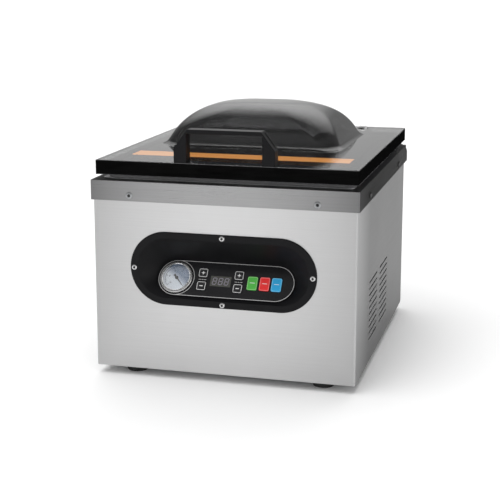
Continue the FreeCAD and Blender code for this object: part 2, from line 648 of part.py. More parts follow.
def lid_bolts():
    """Hinge bolts with domed cap nuts on washers, and the two screws that hold the handle."""
    bolts = []
    for x in (-HINGE_X, HINGE_X):
        base = V(x, BOLT_Y, LID_BOTTOM - ARM_T)
        bolts.append(joined([rod(5.0, base - V(0, 0, 1.5), Z_AXIS, 1.5),
                             rod(3.0, base, Z_AXIS, LID_T + ARM_T + CAP_REACH)]))
        seat = V(x, BOLT_Y, LID_TOP)
        cap = joined([rod(8.6, seat, Z_AXIS, 1.4), dome_head(7.2, 3.6, seat + V(0, 0, 1.4), Z_AXIS)])
        bolts.append(cap.cut(rod(3.0, seat - V(0, 0, 1), Z_AXIS, 1 + CAP_REACH)))
    for x in HANDLE_X:
        base = V(x, HANDLE_Y, LID_BOTTOM + 6)
        head = rod(5.0, base - V(0, 0, 4), Z_AXIS, 4).cut(hexagon(4.0, 2.4, base - V(0, 0, 4.1), Z_AXIS))
        bolts.append(joined([head, rod(2.6, base, Z_AXIS, LID_T - 6 + 12)]))
    return group(bolts)


def hinge_cover():
    """Bent cover behind the rim with rounded top corners, notched for the two hinge arms."""
    half = RIM_HALF_W
    z0 = WALL_TOP
    z1 = RIM_TOP
    y0 = RIM_REAR + 0.1
    y1 = FRONT + REAR_EXTREME
    corner = 14.0
    block = box(-half, half, y0, y1, z0, z1)
    tops = [e for e in block.Edges if abs(abs(e.tangentAt(e.FirstParameter).y) - 1) < 1e-6
            and e.CenterOfMass.z > z1 - 1]
    block = block.makeFillet(corner, tops)
    wall = 1.5
    inside = box(-half + wall, half - wall, y0 - 1, y1 - wall, z0 - 1, z1 - wall)
    tops = [e for e in inside.Edges if abs(abs(e.tangentAt(e.FirstParameter).y) - 1) < 1e-6
            and e.CenterOfMass.z > z1 - wall - 1]
    inside = inside.makeFillet(corner - wall, tops)
    cover = block.cut(inside)
    slot = ARM_W / 2 + GAP + 5.5
    notches = [box(x - slot, x + slot, y0 - 5, y1 + 5, HINGE_Z - 9.0, z1 + 5) for x in (-HINGE_X, HINGE_X)]
    return drilled(cover, notches)


def lid_switch():
    top = RIM_TOP - RIM_T
    case = centred_box(LID_SWITCH_X, LID_SWITCH_Y, 22, 14, top - 18, top)
    return case.cut(rod(2.0 + RUNNING_FIT, V(LID_SWITCH_X, LID_SWITCH_Y, top - 12), Z_AXIS, 20))


def lid_switch_plunger():
    top = RIM_TOP - RIM_T
    base = V(LID_SWITCH_X, LID_SWITCH_Y, top - 10)
    pin = rod(2.0, base, Z_AXIS, LID_BOTTOM - 0.5 - base.z)
    tip = [e for e in pin.Edges if abs(e.CenterOfMass.z - (LID_BOTTOM - 0.5)) < 0.01]
    return pin.makeFillet(0.8, tip)


# ---- control panel ----
def face_holes(clearance, z0, z1):
    cuts = []
    for _, x, y, size in KEYS:
        cuts.append(face_block(x, y, size[0] + 2 * clearance, size[1] + 2 * clearance, z0, z1, 2.6))
    x, y, w, h = DISPLAY
    cuts.append(face_block(x, y, w + 0.1, h + 0.1, z0, z1, 1.0))
    cuts.append(on_face(rod(20.6, V(GAUGE_X, 0, z0), Z_AXIS, z1 - z0)))
    return cuts


def panel_bezel():
    """Oval flange on the front wall with a swept recess that ends at the tilted control face."""
    flange_t = 2.0
    flange = stadium_prism(MOUTH_HALF, 50.0, FRONT - flange_t, FRONT, PANEL_Z)
    rim = [e for e in flange.Edges if abs(e.CenterOfMass.y - (FRONT - flange_t)) < 0.01]
    flange = flange.makeFillet(1.0, rim)
    outer_end = stadium_wire(FACE_HALF, FACE_R + 1.6, None, face_level(FACE_T + MOULD_T))
    outer_mouth = stadium_wire(MOUTH_HALF, MOUTH_R + 2.0, V(0, FRONT, PANEL_Z))
    outer = Part.makeLoft([outer_mouth, outer_end], True, True)
    hollow = Part.makeLoft([stadium_wire(MOUTH_HALF, MOUTH_R, V(0, FRONT - flange_t, PANEL_Z)),
                            stadium_wire(FACE_HALF, FACE_R, None, face_level(FACE_T))], True, True)
    bezel = flange.fuse(outer).cut(hollow)
    holes = face_holes(0.3, -FACE_T - MOULD_T - 2, -FACE_T + 0.5)
    holes += [rod(1.5, V(p.x, FRONT - 5, p.z), Y_AXIS, 10) for p in PANEL_SCREWS]
    return drilled(bezel, holes)


def panel_face():
    face = Part.Face(stadium_wire(FACE_HALF, FACE_R - 0.15, None, face_level(FACE_T)))
    normal = FACE.Rotation.multVec(Z_AXIS)
    plate = face.extrude(normal * FACE_T)
    return drilled(plate, face_holes(0.3, -FACE_T - 1, 2.0))


def panel_screws():
    screws = []
    for p in PANEL_SCREWS:
        base = V(p.x, FRONT - 2.0, p.z)
        head = dome_head(3.2, 1.2, base, V(0, -1, 0)).cut(hexagon(1.8, 0.9, base - V(0, 1.3, 0), Y_AXIS))
        screws.append(joined([head, rod(1.4, base, Y_AXIS, 8)]))
    return group(screws)


def key(x, y, size):
    """Key cap that stands a little out of the face, with a wider foot behind it."""
    cap = rounded_box(x - size[0] / 2, x + size[0] / 2, y - size[1] / 2, y + size[1] / 2, -5.2, 0.8, 2.3)
    top = [e for e in cap.Edges if abs(e.CenterOfMass.z - 0.8) < 0.01]
    cap = cap.makeFillet(0.35, top)
    grow = 0.9
    foot = box(x - size[0] / 2 - grow, x + size[0] / 2 + grow, y - size[1] / 2 - grow, y + size[1] / 2 + grow,
               -5.2, -4.3)
    return on_face(joined([cap, foot]))


def display_window():
    x, y, w, h = DISPLAY
    return face_block(x, y, w - 0.2, h - 0.2, -FACE_T, -0.1, 0.8)


def control_board():
    """Board behind the face, with a switch under each key and the display soldered to it."""
    board = box(-46, 82, -20, 20, -9.0, -7.4)
    board = on_face(board.makeFillet(3.0, upright_edges(board)))
    x, y, w, h = DISPLAY
    soldered = [face_block(x, y, w - 1.0, h - 1.0, -7.4, -FACE_T - 0.1, 0.5)]
    soldered += [face_block(kx, ky, 6, 6, -7.4, -6.1, 0.5) for _, kx, ky, _ in KEYS]
    return joined([board] + soldered)


def gauge_case():
    """Round can behind the face with a rolled bezel ring in front."""
    can = rod(20.0, V(GAUGE_X, 0, -24), Z_AXIS, 25.5)
    bezel = rod(22.9, V(GAUGE_X, 0, 0.05), Z_AXIS, 3.6)
    front = [e for e in bezel.Edges if abs(e.CenterOfMass.z - 3.65) < 0.01]
    bezel = bezel.makeFillet(1.5, front)
    body = joined([can, bezel, rod(6, V(GAUGE_X, 0, -32), Z_AXIS, 9)])
    holes = [rod(18.6, V(GAUGE_X, 0, -8), Z_AXIS, 20), rod(19.6, V(GAUGE_X, 0, 2.0), Z_AXIS, 5)]
    return on_face(drilled(body, holes))


def gauge_dial():
    disc = rod(18.5, V(GAUGE_X, 0, -2.8), Z_AXIS, 0.8)
    spindle = rod(3.0, V(GAUGE_X, 0, -8), Z_AXIS, 5.3)
    return on_face(joined([disc, spindle]).cut(rod(0.5 + RUNNING_FIT, V(GAUGE_X, 0, -6), Z_AXIS, 8)))


def gauge_needle():
    """Tapered pointer with a round hub, balanced by its tail."""
    length = 13.5
    tail = 6.0
    outline = [V(length, -0.3, 0), V(length, 0.3, 0), V(0, 0.9, 0),
               V(-tail, 1.6, 0), V(-tail, -1.6, 0), V(0, -0.9, 0)]
    blade = Part.Face(Part.makePolygon(outline + [outline[0]])).extrude(V(0, 0, 0.4))
    blade = blade.fuse(rod(2.2, V(0, 0, -0.2), Z_AXIS, 1.2)).removeSplitter()
    pointer = joined([blade, rod(0.5, V(0, 0, -3.6), Z_AXIS, 4.0)])
    pointer.Placement = FreeCAD.Placement(V(GAUGE_X, 0, -1.4), FreeCAD.Rotation(Z_AXIS, NEEDLE_ANGLE))
    return on_face(pointer)


def gauge_glass():
    return on_face(rod(19.5, V(GAUGE_X, 0, 2.0), Z_AXIS, 1.1))


# ---- vacuum pump, along X ----
def pump_rod(radius, x0, x1):
    return rod(radius, V(x0, PUMP_Y, PUMP_Z), X_AXIS, x1 - x0)


def long_edges(shape):
    """The edges that run along the pump's axis."""
    return [e for e in shape.Edges if abs(abs(e.tangentAt(e.FirstParameter).x) - 1) < 1e-6]


def motor_case():
    """Finned motor shell with one closed end, bored for a bearing, and two cast feet."""
    fins = [box(-132, -22, PUMP_Y + 50.5 * math.cos(a) - 1.3, PUMP_Y + 50.5 * math.cos(a) + 1.3,
                PUMP_Z + 50.5 * math.sin(a) - 1.3, PUMP_Z + 50.5 * math.sin(a) + 6.5)
            for a in [math.radians(d) for d in range(30, 151, 15)]]
    cast_feet = [box(x, x + 20, PUMP_Y - 40, PUMP_Y + 40, PLATE_TOP, PUMP_Z - 36) for x in (-120, -60)]
    case = joined([pump_rod(MOTOR_R, MOTOR_X0, VANE_X0 - 12)] + fins + cast_feet)
    stator_bore = pump_rod(STATOR_R, MOTOR_X0 + 6, 0)
    bearing_seat = pump_rod(BEARING_R, MOTOR_X0 - 1, MOTOR_X0 + 10)
    return case.cut(stator_bore).cut(bearing_seat)


def motor_stator():
    stator = pump_rod(STATOR_R, -120, -34).cut(pump_rod(30, -121, -33))
    slots = []
    count = 24
    for i in range(count):
        angle = 2 * math.pi * i / count
        place = V(-121, PUMP_Y + 33.5 * math.cos(angle), PUMP_Z + 33.5 * math.sin(angle))
        slots.append(rod(2.6, place, X_AXIS, 90))
    return drilled(stator, slots)


def bearings():
    return group([ring(BEARING_R, SHAFT_R + RUNNING_FIT, V(x, PUMP_Y, PUMP_Z), X_AXIS, 6)
                  for x in (MOTOR_X0, VANE_X0 - 12)])


def motor_shaft():
    """Shaft through motor and pump, with the motor's rotor pressed on."""
    return joined([pump_rod(SHAFT_R, -166, VANE_X1), pump_rod(29.5, -118, -36)])


def motor_fan():
    hub = pump_rod(14, -162, -150)
    blades = []
    for i in range(8):
        blade = box(-161, -151, PUMP_Y - 1.0, PUMP_Y + 1.0, PUMP_Z + 12, PUMP_Z + 44)
        blade.rotate(V(0, PUMP_Y, PUMP_Z), X_AXIS, 45 * i)
        blades.append(blade)
    return joined([hub] + blades).cut(pump_rod(SHAFT_R, -170, -140))


def vane_housing():
    """Pump block with an off-centre round cavity, a bearing seat, an inlet spigot and a foot."""
    x0 = VANE_X0 - 12
    block = box(x0, VANE_X1, PUMP_Y - 45, PUMP_Y + 45, PUMP_Z - 44, PUMP_Z + 44)
    block = block.makeFillet(6, long_edges(block))
    foot = box(14, 34, PUMP_Y - 40, PUMP_Y + 40, PLATE_TOP, PUMP_Z - 40)
    block = joined([block, foot, rod(SPIGOT_R, V(PORT_X, PUMP_Y - 57, PORT_Z), Y_AXIS, 15)])
    return drilled(block, [
        rod(CAVITY_R, V(VANE_X0, PUMP_Y, PUMP_Z - CAVITY_SHIFT), X_AXIS, VANE_X1),
        pump_rod(SHAFT_R + RUNNING_FIT, x0 - 1, VANE_X0 + 1),
        pump_rod(BEARING_R, x0 - 1, x0 + 6),
        rod(3.2, V(PORT_X, PUMP_Y - 60, PORT_Z), Y_AXIS, 42),
        rod(5.0, V(PORT_X, PUMP_Y, PUMP_Z + 15), Z_AXIS, 40)])


def pump_rotor():
    """Slotted drum on the shaft, with its three vanes drawn in."""
    drum = pump_rod(ROTOR_R, VANE_X0 + 0.3, VANE_X1 - 0.3).cut(pump_rod(SHAFT_R, VANE_X0 - 5, VANE_X1 + 5))
    slots = []
    vanes = []
    for i in range(3):
        slot = box(VANE_X0 - 1, VANE_X1 + 1, PUMP_Y - 1.5, PUMP_Y + 1.5, PUMP_Z + 10, PUMP_Z + 30)
        vane = box(VANE_X0 + 0.5, VANE_X1 - 0.5, PUMP_Y - 1.5, PUMP_Y + 1.5,
                   PUMP_Z + 10, PUMP_Z + ROTOR_R - 0.2)
        for blade in (slot, vane):
            blade.rotate(V(0, PUMP_Y, PUMP_Z), X_AXIS, 120 * i)
        slots.append(slot)
        vanes.append(vane)
    return group([drilled(drum, slots)] + vanes)


def pump_end_cover():
    cover = box(VANE_X1 + 0.2, VANE_X1 + 9, PUMP_Y - 45, PUMP_Y + 45, PUMP_Z - 44, PUMP_Z + 44)
    cover = cover.makeFillet(6, long_edges(cover))
    bosses = [rod(4, V(VANE_X1 + 9, PUMP_Y + dy * 37, PUMP_Z + dz * 36), X_AXIS, 3)
              for dy in (-1, 1) for dz in (-1, 1)]
    return joined([cover] + bosses)


# ---- valves, hoses, electrics ----
def solenoid_valves():
    """Manifold block on two legs, with two valve coils under it and two hose spigots behind."""
    x0 = VALVE_X[0] - 20
    x1 = VALVE_X[1] + 20
    pieces = [box(x0, x1, VALVE_Y - 14, VALVE_Y + 14, VALVE_Z, VALVE_Z + 16)]
    pieces += [box(x, x + 4, VALVE_Y - 14, VALVE_Y + 14, PLATE_TOP, VALVE_Z) for x in (x0, x1 - 4)]
    pieces += [rod(SPIGOT_R, V(x, VALVE_Y + 12, VALVE_Z + 8), Y_AXIS, 14) for x in VALVE_X]
    manifold = drilled(joined(pieces), [rod(3.2, V(x, VALVE_Y, VALVE_Z + 8), Y_AXIS, 30) for x in VALVE_X])
    coils = []
    for x in VALVE_X:
        coil = centred_box(x, VALVE_Y, 26, 26, VALVE_Z - 34, VALVE_Z - 4)
        coils.append(joined([coil, rod(7, V(x, VALVE_Y, VALVE_Z - 4), Z_AXIS, 4),
                             rod(5, V(x, VALVE_Y, VALVE_Z - 40), Z_AXIS, 6)]))
    return group([manifold] + coils)


def tube(points, outer, inner, bend):
    """Hose along straight runs joined by tangent arcs."""
    edges = []
    start = points[0]
    for before, corner, after in zip(points, points[1:], points[2:]):
        a = (before - corner).normalize()
        b = (after - corner).normalize()
        half = a.getAngle(b) / 2
        reach = bend / math.tan(half)
        inward = (a + b).normalize()
        enter = corner + a * reach
        leave = corner + b * reach
        middle = corner + inward * (bend / math.sin(half) - bend)
        edges.append(Part.makeLine(start, enter))
        edges.append(Part.Arc(enter, middle, leave).toShape())
        start = leave
    edges.append(Part.makeLine(start, points[-1]))
    path = Part.Wire(edges)
    along = (points[1] - points[0]).normalize()
    pipes = [path.makePipeShell([Part.Wire([Part.makeCircle(r, points[0], along)])], True, False)
             for r in (outer, inner)]
    return pipes[0].cut(pipes[1])


def vacuum_hoses():
    """Hoses from the chamber to the valves and from the valves to the pump."""
    drop = 30.0
    end_y = VALVE_Y + 15
    end_z = VALVE_Z + 8
    chamber = [V(0, SUCTION_Y - 16, SUCTION_HOSE_Z), V(0, end_y + 2 * drop, SUCTION_HOSE_Z),
               V(VALVE_X[0], end_y + drop, end_z), V(VALVE_X[0], end_y, end_z)]
    pump = [V(PORT_X, PUMP_Y - 46, PORT_Z), V(PORT_X, end_y + 1.7 * drop, PORT_Z),
            V(VALVE_X[1], end_y + 0.8 * drop, end_z), V(VALVE_X[1], end_y, end_z)]
    return group([tube(route, 7.5, SPIGOT_R, 16.0) for route in (chamber, pump)])


def transformer_core():
    """Laminated core with three legs, on a strap that holds it to the base plate."""
    z = PLATE_TOP + 3
    core = centred_box(COIL_X, COIL_Y, 84, 44, z, z + 70)
    windows = [centred_box(COIL_X + side * 21, COIL_Y, 14, 60, z + 14, z + 56) for side in (-1, 1)]
    strap = centred_box(COIL_X, COIL_Y, 110, 44, PLATE_TOP, z)
    return joined([drilled(core, windows), strap])


def transformer_coil():
    z = PLATE_TOP + 18
    outer = rounded_box(COIL_X - 27.5, COIL_X + 27.5, COIL_Y - 32, COIL_Y + 32, z, z + 40, 5)
    return outer.cut(centred_box(COIL_X, COIL_Y, 28, 44, z - 5, z + 50))


def power_board():
    """Board with its relays, capacitors and terminal block soldered on."""
    z = PLATE_TOP + STANDOFF_H
    top = z + 1.6
    parts = [centred_box(BOARD_X, BOARD_Y, 104, 124, z, top)]
    parts += [centred_box(BOARD_X - 34 + 22 * i, BOARD_Y + 42, 18, 22, top, top + 16) for i in range(4)]
    parts += [rod(9, V(BOARD_X - 30 + 24 * i, BOARD_Y - 5, top), Z_AXIS, 28) for i in range(3)]
    parts.append(centred_box(BOARD_X, BOARD_Y - 48, 84, 14, top, top + 13))
    return joined(parts)


def fan_frame():
    y0 = REAR - SHEET - 25
    frame = rounded_box(FAN_X - 40, FAN_X + 40, FAN_Z - 40, FAN_Z + 40, 0, 25, 4)
    frame.Placement = FreeCAD.Placement(V(0, REAR - SHEET, 0), FreeCAD.Rotation(X_AXIS, 90))
    centre = V(FAN_X, y0, FAN_Z)
    shell = frame.cut(rod(38, centre - V(0, 1, 0), Y_AXIS, 40))
    motor = rod(14, centre, Y_AXIS, 5)
    arms = []
    for angle in (45, 165, 285):
        arm = box(FAN_X, FAN_X + 39, y0, y0 + 4, FAN_Z - 2, FAN_Z + 2)
        arm.rotate(centre, Y_AXIS, angle)
        arms.append(arm)
    holes = [rod(1.6, V(x, REAR - 60, z), Y_AXIS, 60) for x, z in FAN_SCREWS]
    holes.append(rod(1.5 + RUNNING_FIT, centre - V(0, 1, 0), Y_AXIS, 10))
    return drilled(joined([shell, motor] + arms), holes)


def fan_rotor():
    """Hub cup and seven pitched blades on a short spindle."""
    y0 = REAR - SHEET - 19
    centre = V(FAN_X, y0, FAN_Z)
    hub = rod(16, centre, Y_AXIS, 16)
    blades = []
    for i in range(7):
        blade = box(-9, 9, -0.8, 0.8, 13, 36)
        blade.rotate(V(0, 0, 0), Z_AXIS, 38)
        blade.translate(V(FAN_X, y0 + 8, FAN_Z))
        blade.rotate(centre, Y_AXIS, 360.0 / 7 * i)
        blades.append(blade)
    spindle = rod(1.5, centre - V(0, 5, 0), Y_AXIS, 6)
    return joined([hub, spindle] + blades)


def power_inlet():
    """Recessed three-pin inlet with a flange on the rear panel."""
    flange = box(INLET_X - 17, INLET_X + 17, REAR, REAR + 2.5, INLET_Z - 15, INLET_Z + 15)
    shell = box(INLET_X - 13.6, INLET_X + 13.6, REAR - 22, REAR + 1, INLET_Z - 11.6, INLET_Z + 11.6)
    mouth = box(INLET_X - 12.2, INLET_X + 12.2, REAR - 16, REAR + 5, INLET_Z - 8.2, INLET_Z + 8.2)
    body = joined([flange, shell]).cut(mouth)
    pins = [box(INLET_X + dx - 1, INLET_X + dx + 1, REAR - 30, REAR - 3, INLET_Z + dz - 2, INLET_Z + dz + 2)
            for dx, dz in ((-7, -4), (0, 0), (7, -4))]
    return joined([body] + pins)


def switch_housing():
    flange = box(SWITCH_X - 9.5, SWITCH_X + 9.5, REAR, REAR + 2.0, INLET_Z - 13.5, INLET_Z + 13.5)
    shell = box(SWITCH_X - 6.8, SWITCH_X + 6.8, REAR - 20, REAR + 1, INLET_Z - 10.8, INLET_Z + 10.8)
    mouth = box(SWITCH_X - 5.6, SWITCH_X + 5.6, REAR - 10, REAR + 5, INLET_Z - 9.8, INLET_Z + 9.8)
    pivot = rod(1.2 + RUNNING_FIT, V(SWITCH_X - 6.4, ROCKER_Y, INLET_Z), X_AXIS, 12.8)
    return drilled(joined([flange, shell]), [mouth, pivot])


def power_rocker():
    """Rocker tipped to its off side, on short pins at its own middle."""
    body = joined([box(-5.2, 5.2, -3.0, 3.2, -8.8, 8.8), box(-5.2, 5.2, 3.1, 4.4, -8.8, -1.0),
                   rod(1.2, V(-6.2, 0, 0), X_AXIS, 12.4)])
    body.rotate(V(0, 0, 0), X_AXIS, -ROCKER_REST)
    body.translate(V(SWITCH_X, ROCKER_Y, INLET_Z))
    return body


NODES = [
    base_plate, body_wrap, rear_panel, rim_frame, case_screws, feet, rim_screws,
    chamber_tub, chamber_gasket, suction_fitting, lift_cylinders, lift_pistons,
    seal_bar, heating_wires, heating_cover, bar_terminals,
    lid_cover, lid_handle, lid_bolts, pressure_pad,
    hinge_arms, hinge_brackets, hinge_pins, hinge_cover, lid_switch, lid_switch_plunger,
    panel_bezel, panel_face, panel_screws, display_window, control_board,
    gauge_case, gauge_dial, gauge_needle, gauge_glass,
    motor_case, motor_stator, motor_shaft, bearings, motor_fan, vane_housing, pump_rotor, pump_end_cover,
    solenoid_valves, vacuum_hoses, transformer_core, transformer_coil, power_board,
    fan_frame, fan_rotor, power_inlet, switch_housing, power_rocker,
]


def main():
    os.makedirs("parts", exist_ok=True)
    shapes = {make.__name__: make() for make in NODES}
    for name, x, y, size in KEYS:
        shapes[name] = key(x, y, size)
    for name, shape in shapes.items():
        shape.exportStep("parts/" + name + ".step")


main()
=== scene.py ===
import json
import math

import bmesh
import bpy
from mathutils import Matrix, Vector


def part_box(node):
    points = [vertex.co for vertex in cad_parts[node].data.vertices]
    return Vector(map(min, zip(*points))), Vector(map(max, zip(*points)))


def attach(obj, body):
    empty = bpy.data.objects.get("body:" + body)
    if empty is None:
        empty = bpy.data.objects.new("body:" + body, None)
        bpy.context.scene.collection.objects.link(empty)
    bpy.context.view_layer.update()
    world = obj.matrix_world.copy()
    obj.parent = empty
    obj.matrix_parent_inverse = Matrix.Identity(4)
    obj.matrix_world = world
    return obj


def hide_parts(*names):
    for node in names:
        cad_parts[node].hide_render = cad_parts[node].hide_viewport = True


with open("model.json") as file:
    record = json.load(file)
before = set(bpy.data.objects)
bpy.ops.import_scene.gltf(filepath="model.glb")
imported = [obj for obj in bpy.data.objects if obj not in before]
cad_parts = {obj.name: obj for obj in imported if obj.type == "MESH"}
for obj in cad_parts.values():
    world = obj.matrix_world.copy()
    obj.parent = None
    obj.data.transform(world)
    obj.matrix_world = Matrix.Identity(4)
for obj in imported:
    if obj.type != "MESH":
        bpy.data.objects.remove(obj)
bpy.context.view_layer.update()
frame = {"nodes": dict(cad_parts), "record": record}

# Vacuum chamber sealer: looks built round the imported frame. Metres, Z up, front towards -Y.
MM = 0.001

# ---- sizes that repeat the design, in millimetres ----
LID_T = 19.6
PLATE_BEVEL = 0.8
PLATE_RIM = 1.0                     # faces centred this close to the plate's outside belong to its edges
DOME_HALF_W = 130.0
DOME_HALF_D = 100.0
DOME_MID_X = -9.0
DOME_MID_Y = 49.0
DOME_H = 56.4
DOME_WALL = 6.0
DOME_CORNER = 22.0
DOME_FOOT = math.radians(38.0)      # the dome's section is a superellipse between these two angles
DOME_CROWN = math.radians(89.0)
DOME_POWER = 0.50                   # 1 is an ellipse, less is squarer
DOME_ROWS = 44
DOME_SPACING = 1.6                  # rows of points lie closer together towards the foot
DOME_GAP = 0.02
CORNER_GROWTH = 1.2                 # how fast the dome's corners widen as its outline shrinks
CORNER_SOFT = 4.0
FLARE = 6.0                         # the dome's foot spreads out by this much, over its lowest FLARE_H
FLARE_H = 5.0
CONTACT = 0.1                       # the plate reaches this far into what touches it, so light passes on
SLEEVE_R = 4.6
SLEEVE_FOOT_R = 7.4
SLEEVE_FOOT = 6.4
SLEEVE_BORE_R = 2.8
SLEEVE_SEAT_R = 6.2                 # the screw head's pocket
SLEEVE_SEAT = 6.1
SLEEVE_SHOULDER = 0.2
SLEEVE_PLAY = 0.05
BOND_T = 0.3
BOND_SINK = 0.05
BOND_INSET = 0.4                    # the adhesive stops this far inside the pad's edge
CONTROL_TILT = 36.8
FACE_T = 1.6
FACE_END_X = 68.5
OUTLINE_R = 25.2
OUTLINE_W = 0.7
PRINT_LOW = 0.02                    # prints lie between these two heights above their surface
PRINT_HIGH = 0.1
PRINT_STEP = 0.02                   # where two prints meet, one is this much thicker
GAUGE_X = -69.3
DIAL_LEVEL = -2.0
NEEDLE_START = -48.0
GAUGE_SWEEP = 270.0
DIAL_LOW = DIAL_LEVEL + 0.02
DIAL_HIGH = DIAL_LEVEL + 0.08
TICKS = 50
TICK_R = 16.4                       # outer ends of the dial's ticks
RAIL_R = (16.6, 16.35)
RAIL_STEPS = 80
FIGURES = 5
FIGURE_R = 11.0
FIGURE_H = 3.1
FIGURE_T = 0.03                     # half the thickness of a figure
DISPLAY_X = -7.1
DISPLAY_Y = -1.7
SMALL_KEYS = {
    "key_time_plus": (-32.7, 8.9, True),
    "key_time_minus": (-32.8, -9.9, False),
    "key_seal_plus": (17.5, 8.2, True),
    "key_seal_minus": (17.7, -10.5, False),
}
TALL_KEYS = {"key_start": (36.9, -1.6), "key_stop": (53.7, -1.6), "key_seal": (70.0, -1.6)}
KEY_TOP = 0.8
PLUS_ARM = 2.3
PLUS_HALF = 0.45
CAPTIONS = ((-32.7, -0.5), (17.6, -1.1))
CAPTION_DASHES = ((-3.6, 1.7), (0.2, 1.4), (3.9, 1.6))
DASH_HALF = 0.35
DASH_R = 0.2
DIGIT_HALF_W = 2.5
DIGIT_HALF_H = 4.6
DIGIT_PITCH = 8.3
DIGIT_SLANT = 0.12
BAR_HALF = 0.55
BAR_GAP = 0.15
DIGIT_LEVELS = (-0.09, -0.03)
HANDLE_HOLES = [(-60.25, -202.0), (60.25, -202.0)]
RIM_SIDE_X = 182.6
RIM_FRONT_Y = -222.6
RIM_SCREW_Z = 251.7
PANEL_FRONT_Y = -222.0
RIM_FRONT_SCREWS = [((x, RIM_FRONT_Y, RIM_SCREW_Z), (0, -1, 0)) for x in (-128.0, 128.0)]
RIM_SIDE_SCREWS = [((side * RIM_SIDE_X, y, RIM_SCREW_Z), (side, 0, 0))
                   for side in (-1, 1) for y in (-136.0, 131.0)]
PANEL_SCREWS = [((x, PANEL_FRONT_Y, z), (0, -1, 0))
                for x, z in ((0.0, 199.8), (0.0, 109.3), (-122.5, 154.0), (122.5, 154.0))]
RIM_SCREW_R = 4.6
RIM_SCREW_H = 1.4
PANEL_SCREW_R = 3.6
PANEL_SCREW_H = 1.2
SCREW_LIFT = 0.02

# ---- camera and light, in metres and radians ----
CAMERA_PLACE = (0.43311, -1.70598, 0.54905)
CAMERA_YAW = 0.2599
CAMERA_PITCH = 0.1982
SENSOR_MM = 36.0
LENS_MM = 86.86656
CAMERA_SHIFT = -0.08
SKY = 0.36                          # even brightness of the studio's walls
GLOWS = [                           # bright fields on the walls: middle, brightness, outer and inner cosine
    ((-0.10, 0.64, 0.76), 1.95, 0.78, 1.0),
    ((-0.28, 0.95, 0.13), 0.40, 0.955, 1.0),
    ((0.96, -0.27, 0.08), 1.6, 0.85, 0.97),
]


# ---- shader helpers ----
def add(tree, kind, inputs=None, **props):
    """One shader node. An input given as a socket is linked, and any other value is set on the socket."""
    node = tree.nodes.new("ShaderNode" + kind)
    for key, value in props.items():
        setattr(node, key, value)
    for key, value in (inputs or {}).items():
        if isinstance(value, bpy.types.NodeSocket):
            tree.links.new(value, node.inputs[key])
        else:
            node.inputs[key].default_value = value
    return node


def new_material(name):
    made = bpy.data.materials.new(name)
    made.use_nodes = True
    made.node_tree.nodes.clear()
    return made, made.node_tree


def even(scale):
    return (scale, scale, scale)


def grain(tree, stretch, detail=5.0, roughness=0.55):
    """Noise in the object's own metres, stretched by a scale for each axis."""
    spot = add(tree, "TexCoord").outputs["Object"]
    placed = add(tree, "Mapping", {"Vector": spot, "Scale": stretch})
    return add(tree, "TexNoise", {"Vector": placed.outputs["Vector"], "Scale": 1.0, "Detail": detail,
                                  "Roughness": roughness}).outputs["Fac"]


def between(tree, factor, low, high, start=0.3, end=0.7):
    """A number that runs from low to high as the factor goes from start to end."""
    return add(tree, "MapRange", {"Value": factor, "From Min": start, "From Max": end, "To Min": low,
                                  "To Max": high}).outputs["Result"]


def mixed(tree, factor, dark, light):
    node = add(tree, "Mix", {"Factor": factor}, data_type="RGBA")
    for index, colour in ((6, dark), (7, light)):
        if isinstance(colour, bpy.types.NodeSocket):
            tree.links.new(colour, node.inputs[index])
        else:
            node.inputs[index].default_value = (*colour, 1.0)
    return node.outputs[2]


def arithmetic(tree, operation, a, b=0.0):
    return add(tree, "Math", {0: a, 1: b}, operation=operation).outputs[0]


def along(tree, vector, aim):
    """Dot product: how far a vector reaches in the direction of aim."""
    return add(tree, "VectorMath", {0: vector, 1: aim}, operation="DOT_PRODUCT").outputs["Value"]


def surface(tree, colour, roughness, height=None, bump=0.3, depth=0.0001, **constants):
    """Principled surface with its colour and roughness linked, and constants set on its own sockets."""
    inputs = {"Base Color": colour, "Roughness": roughness}
    inputs.update({key.replace("_", " "): value for key, value in constants.items()})
    if height is not None:
        inputs["Normal"] = add(tree, "Bump", {"Height": height, "Strength": bump,
                                              "Distance": depth}).outputs["Normal"]
    shader = add(tree, "BsdfPrincipled", inputs)
    out = add(tree, "OutputMaterial", {"Surface": shader.outputs["BSDF"]})
    return shader, out


def finish(name, dark, light, rough, stretch, bump=0.3, depth=0.0001, broad=22.0, **constants):
    """General finish: fine grain and broad cloudiness drive colour, roughness and bump."""
    made, tree = new_material(name)
    fine = grain(tree, stretch)
    cloud = grain(tree, even(broad), 3.0)
    both = arithmetic(tree, "ADD", arithmetic(tree, "MULTIPLY", fine, 0.65),
                      arithmetic(tree, "MULTIPLY", cloud, 0.35))
    colour = mixed(tree, between(tree, both, 0.0, 1.0), dark, light)
    surface(tree, colour, between(tree, both, rough[0], rough[1]), fine, bump, depth, **constants)
    return made


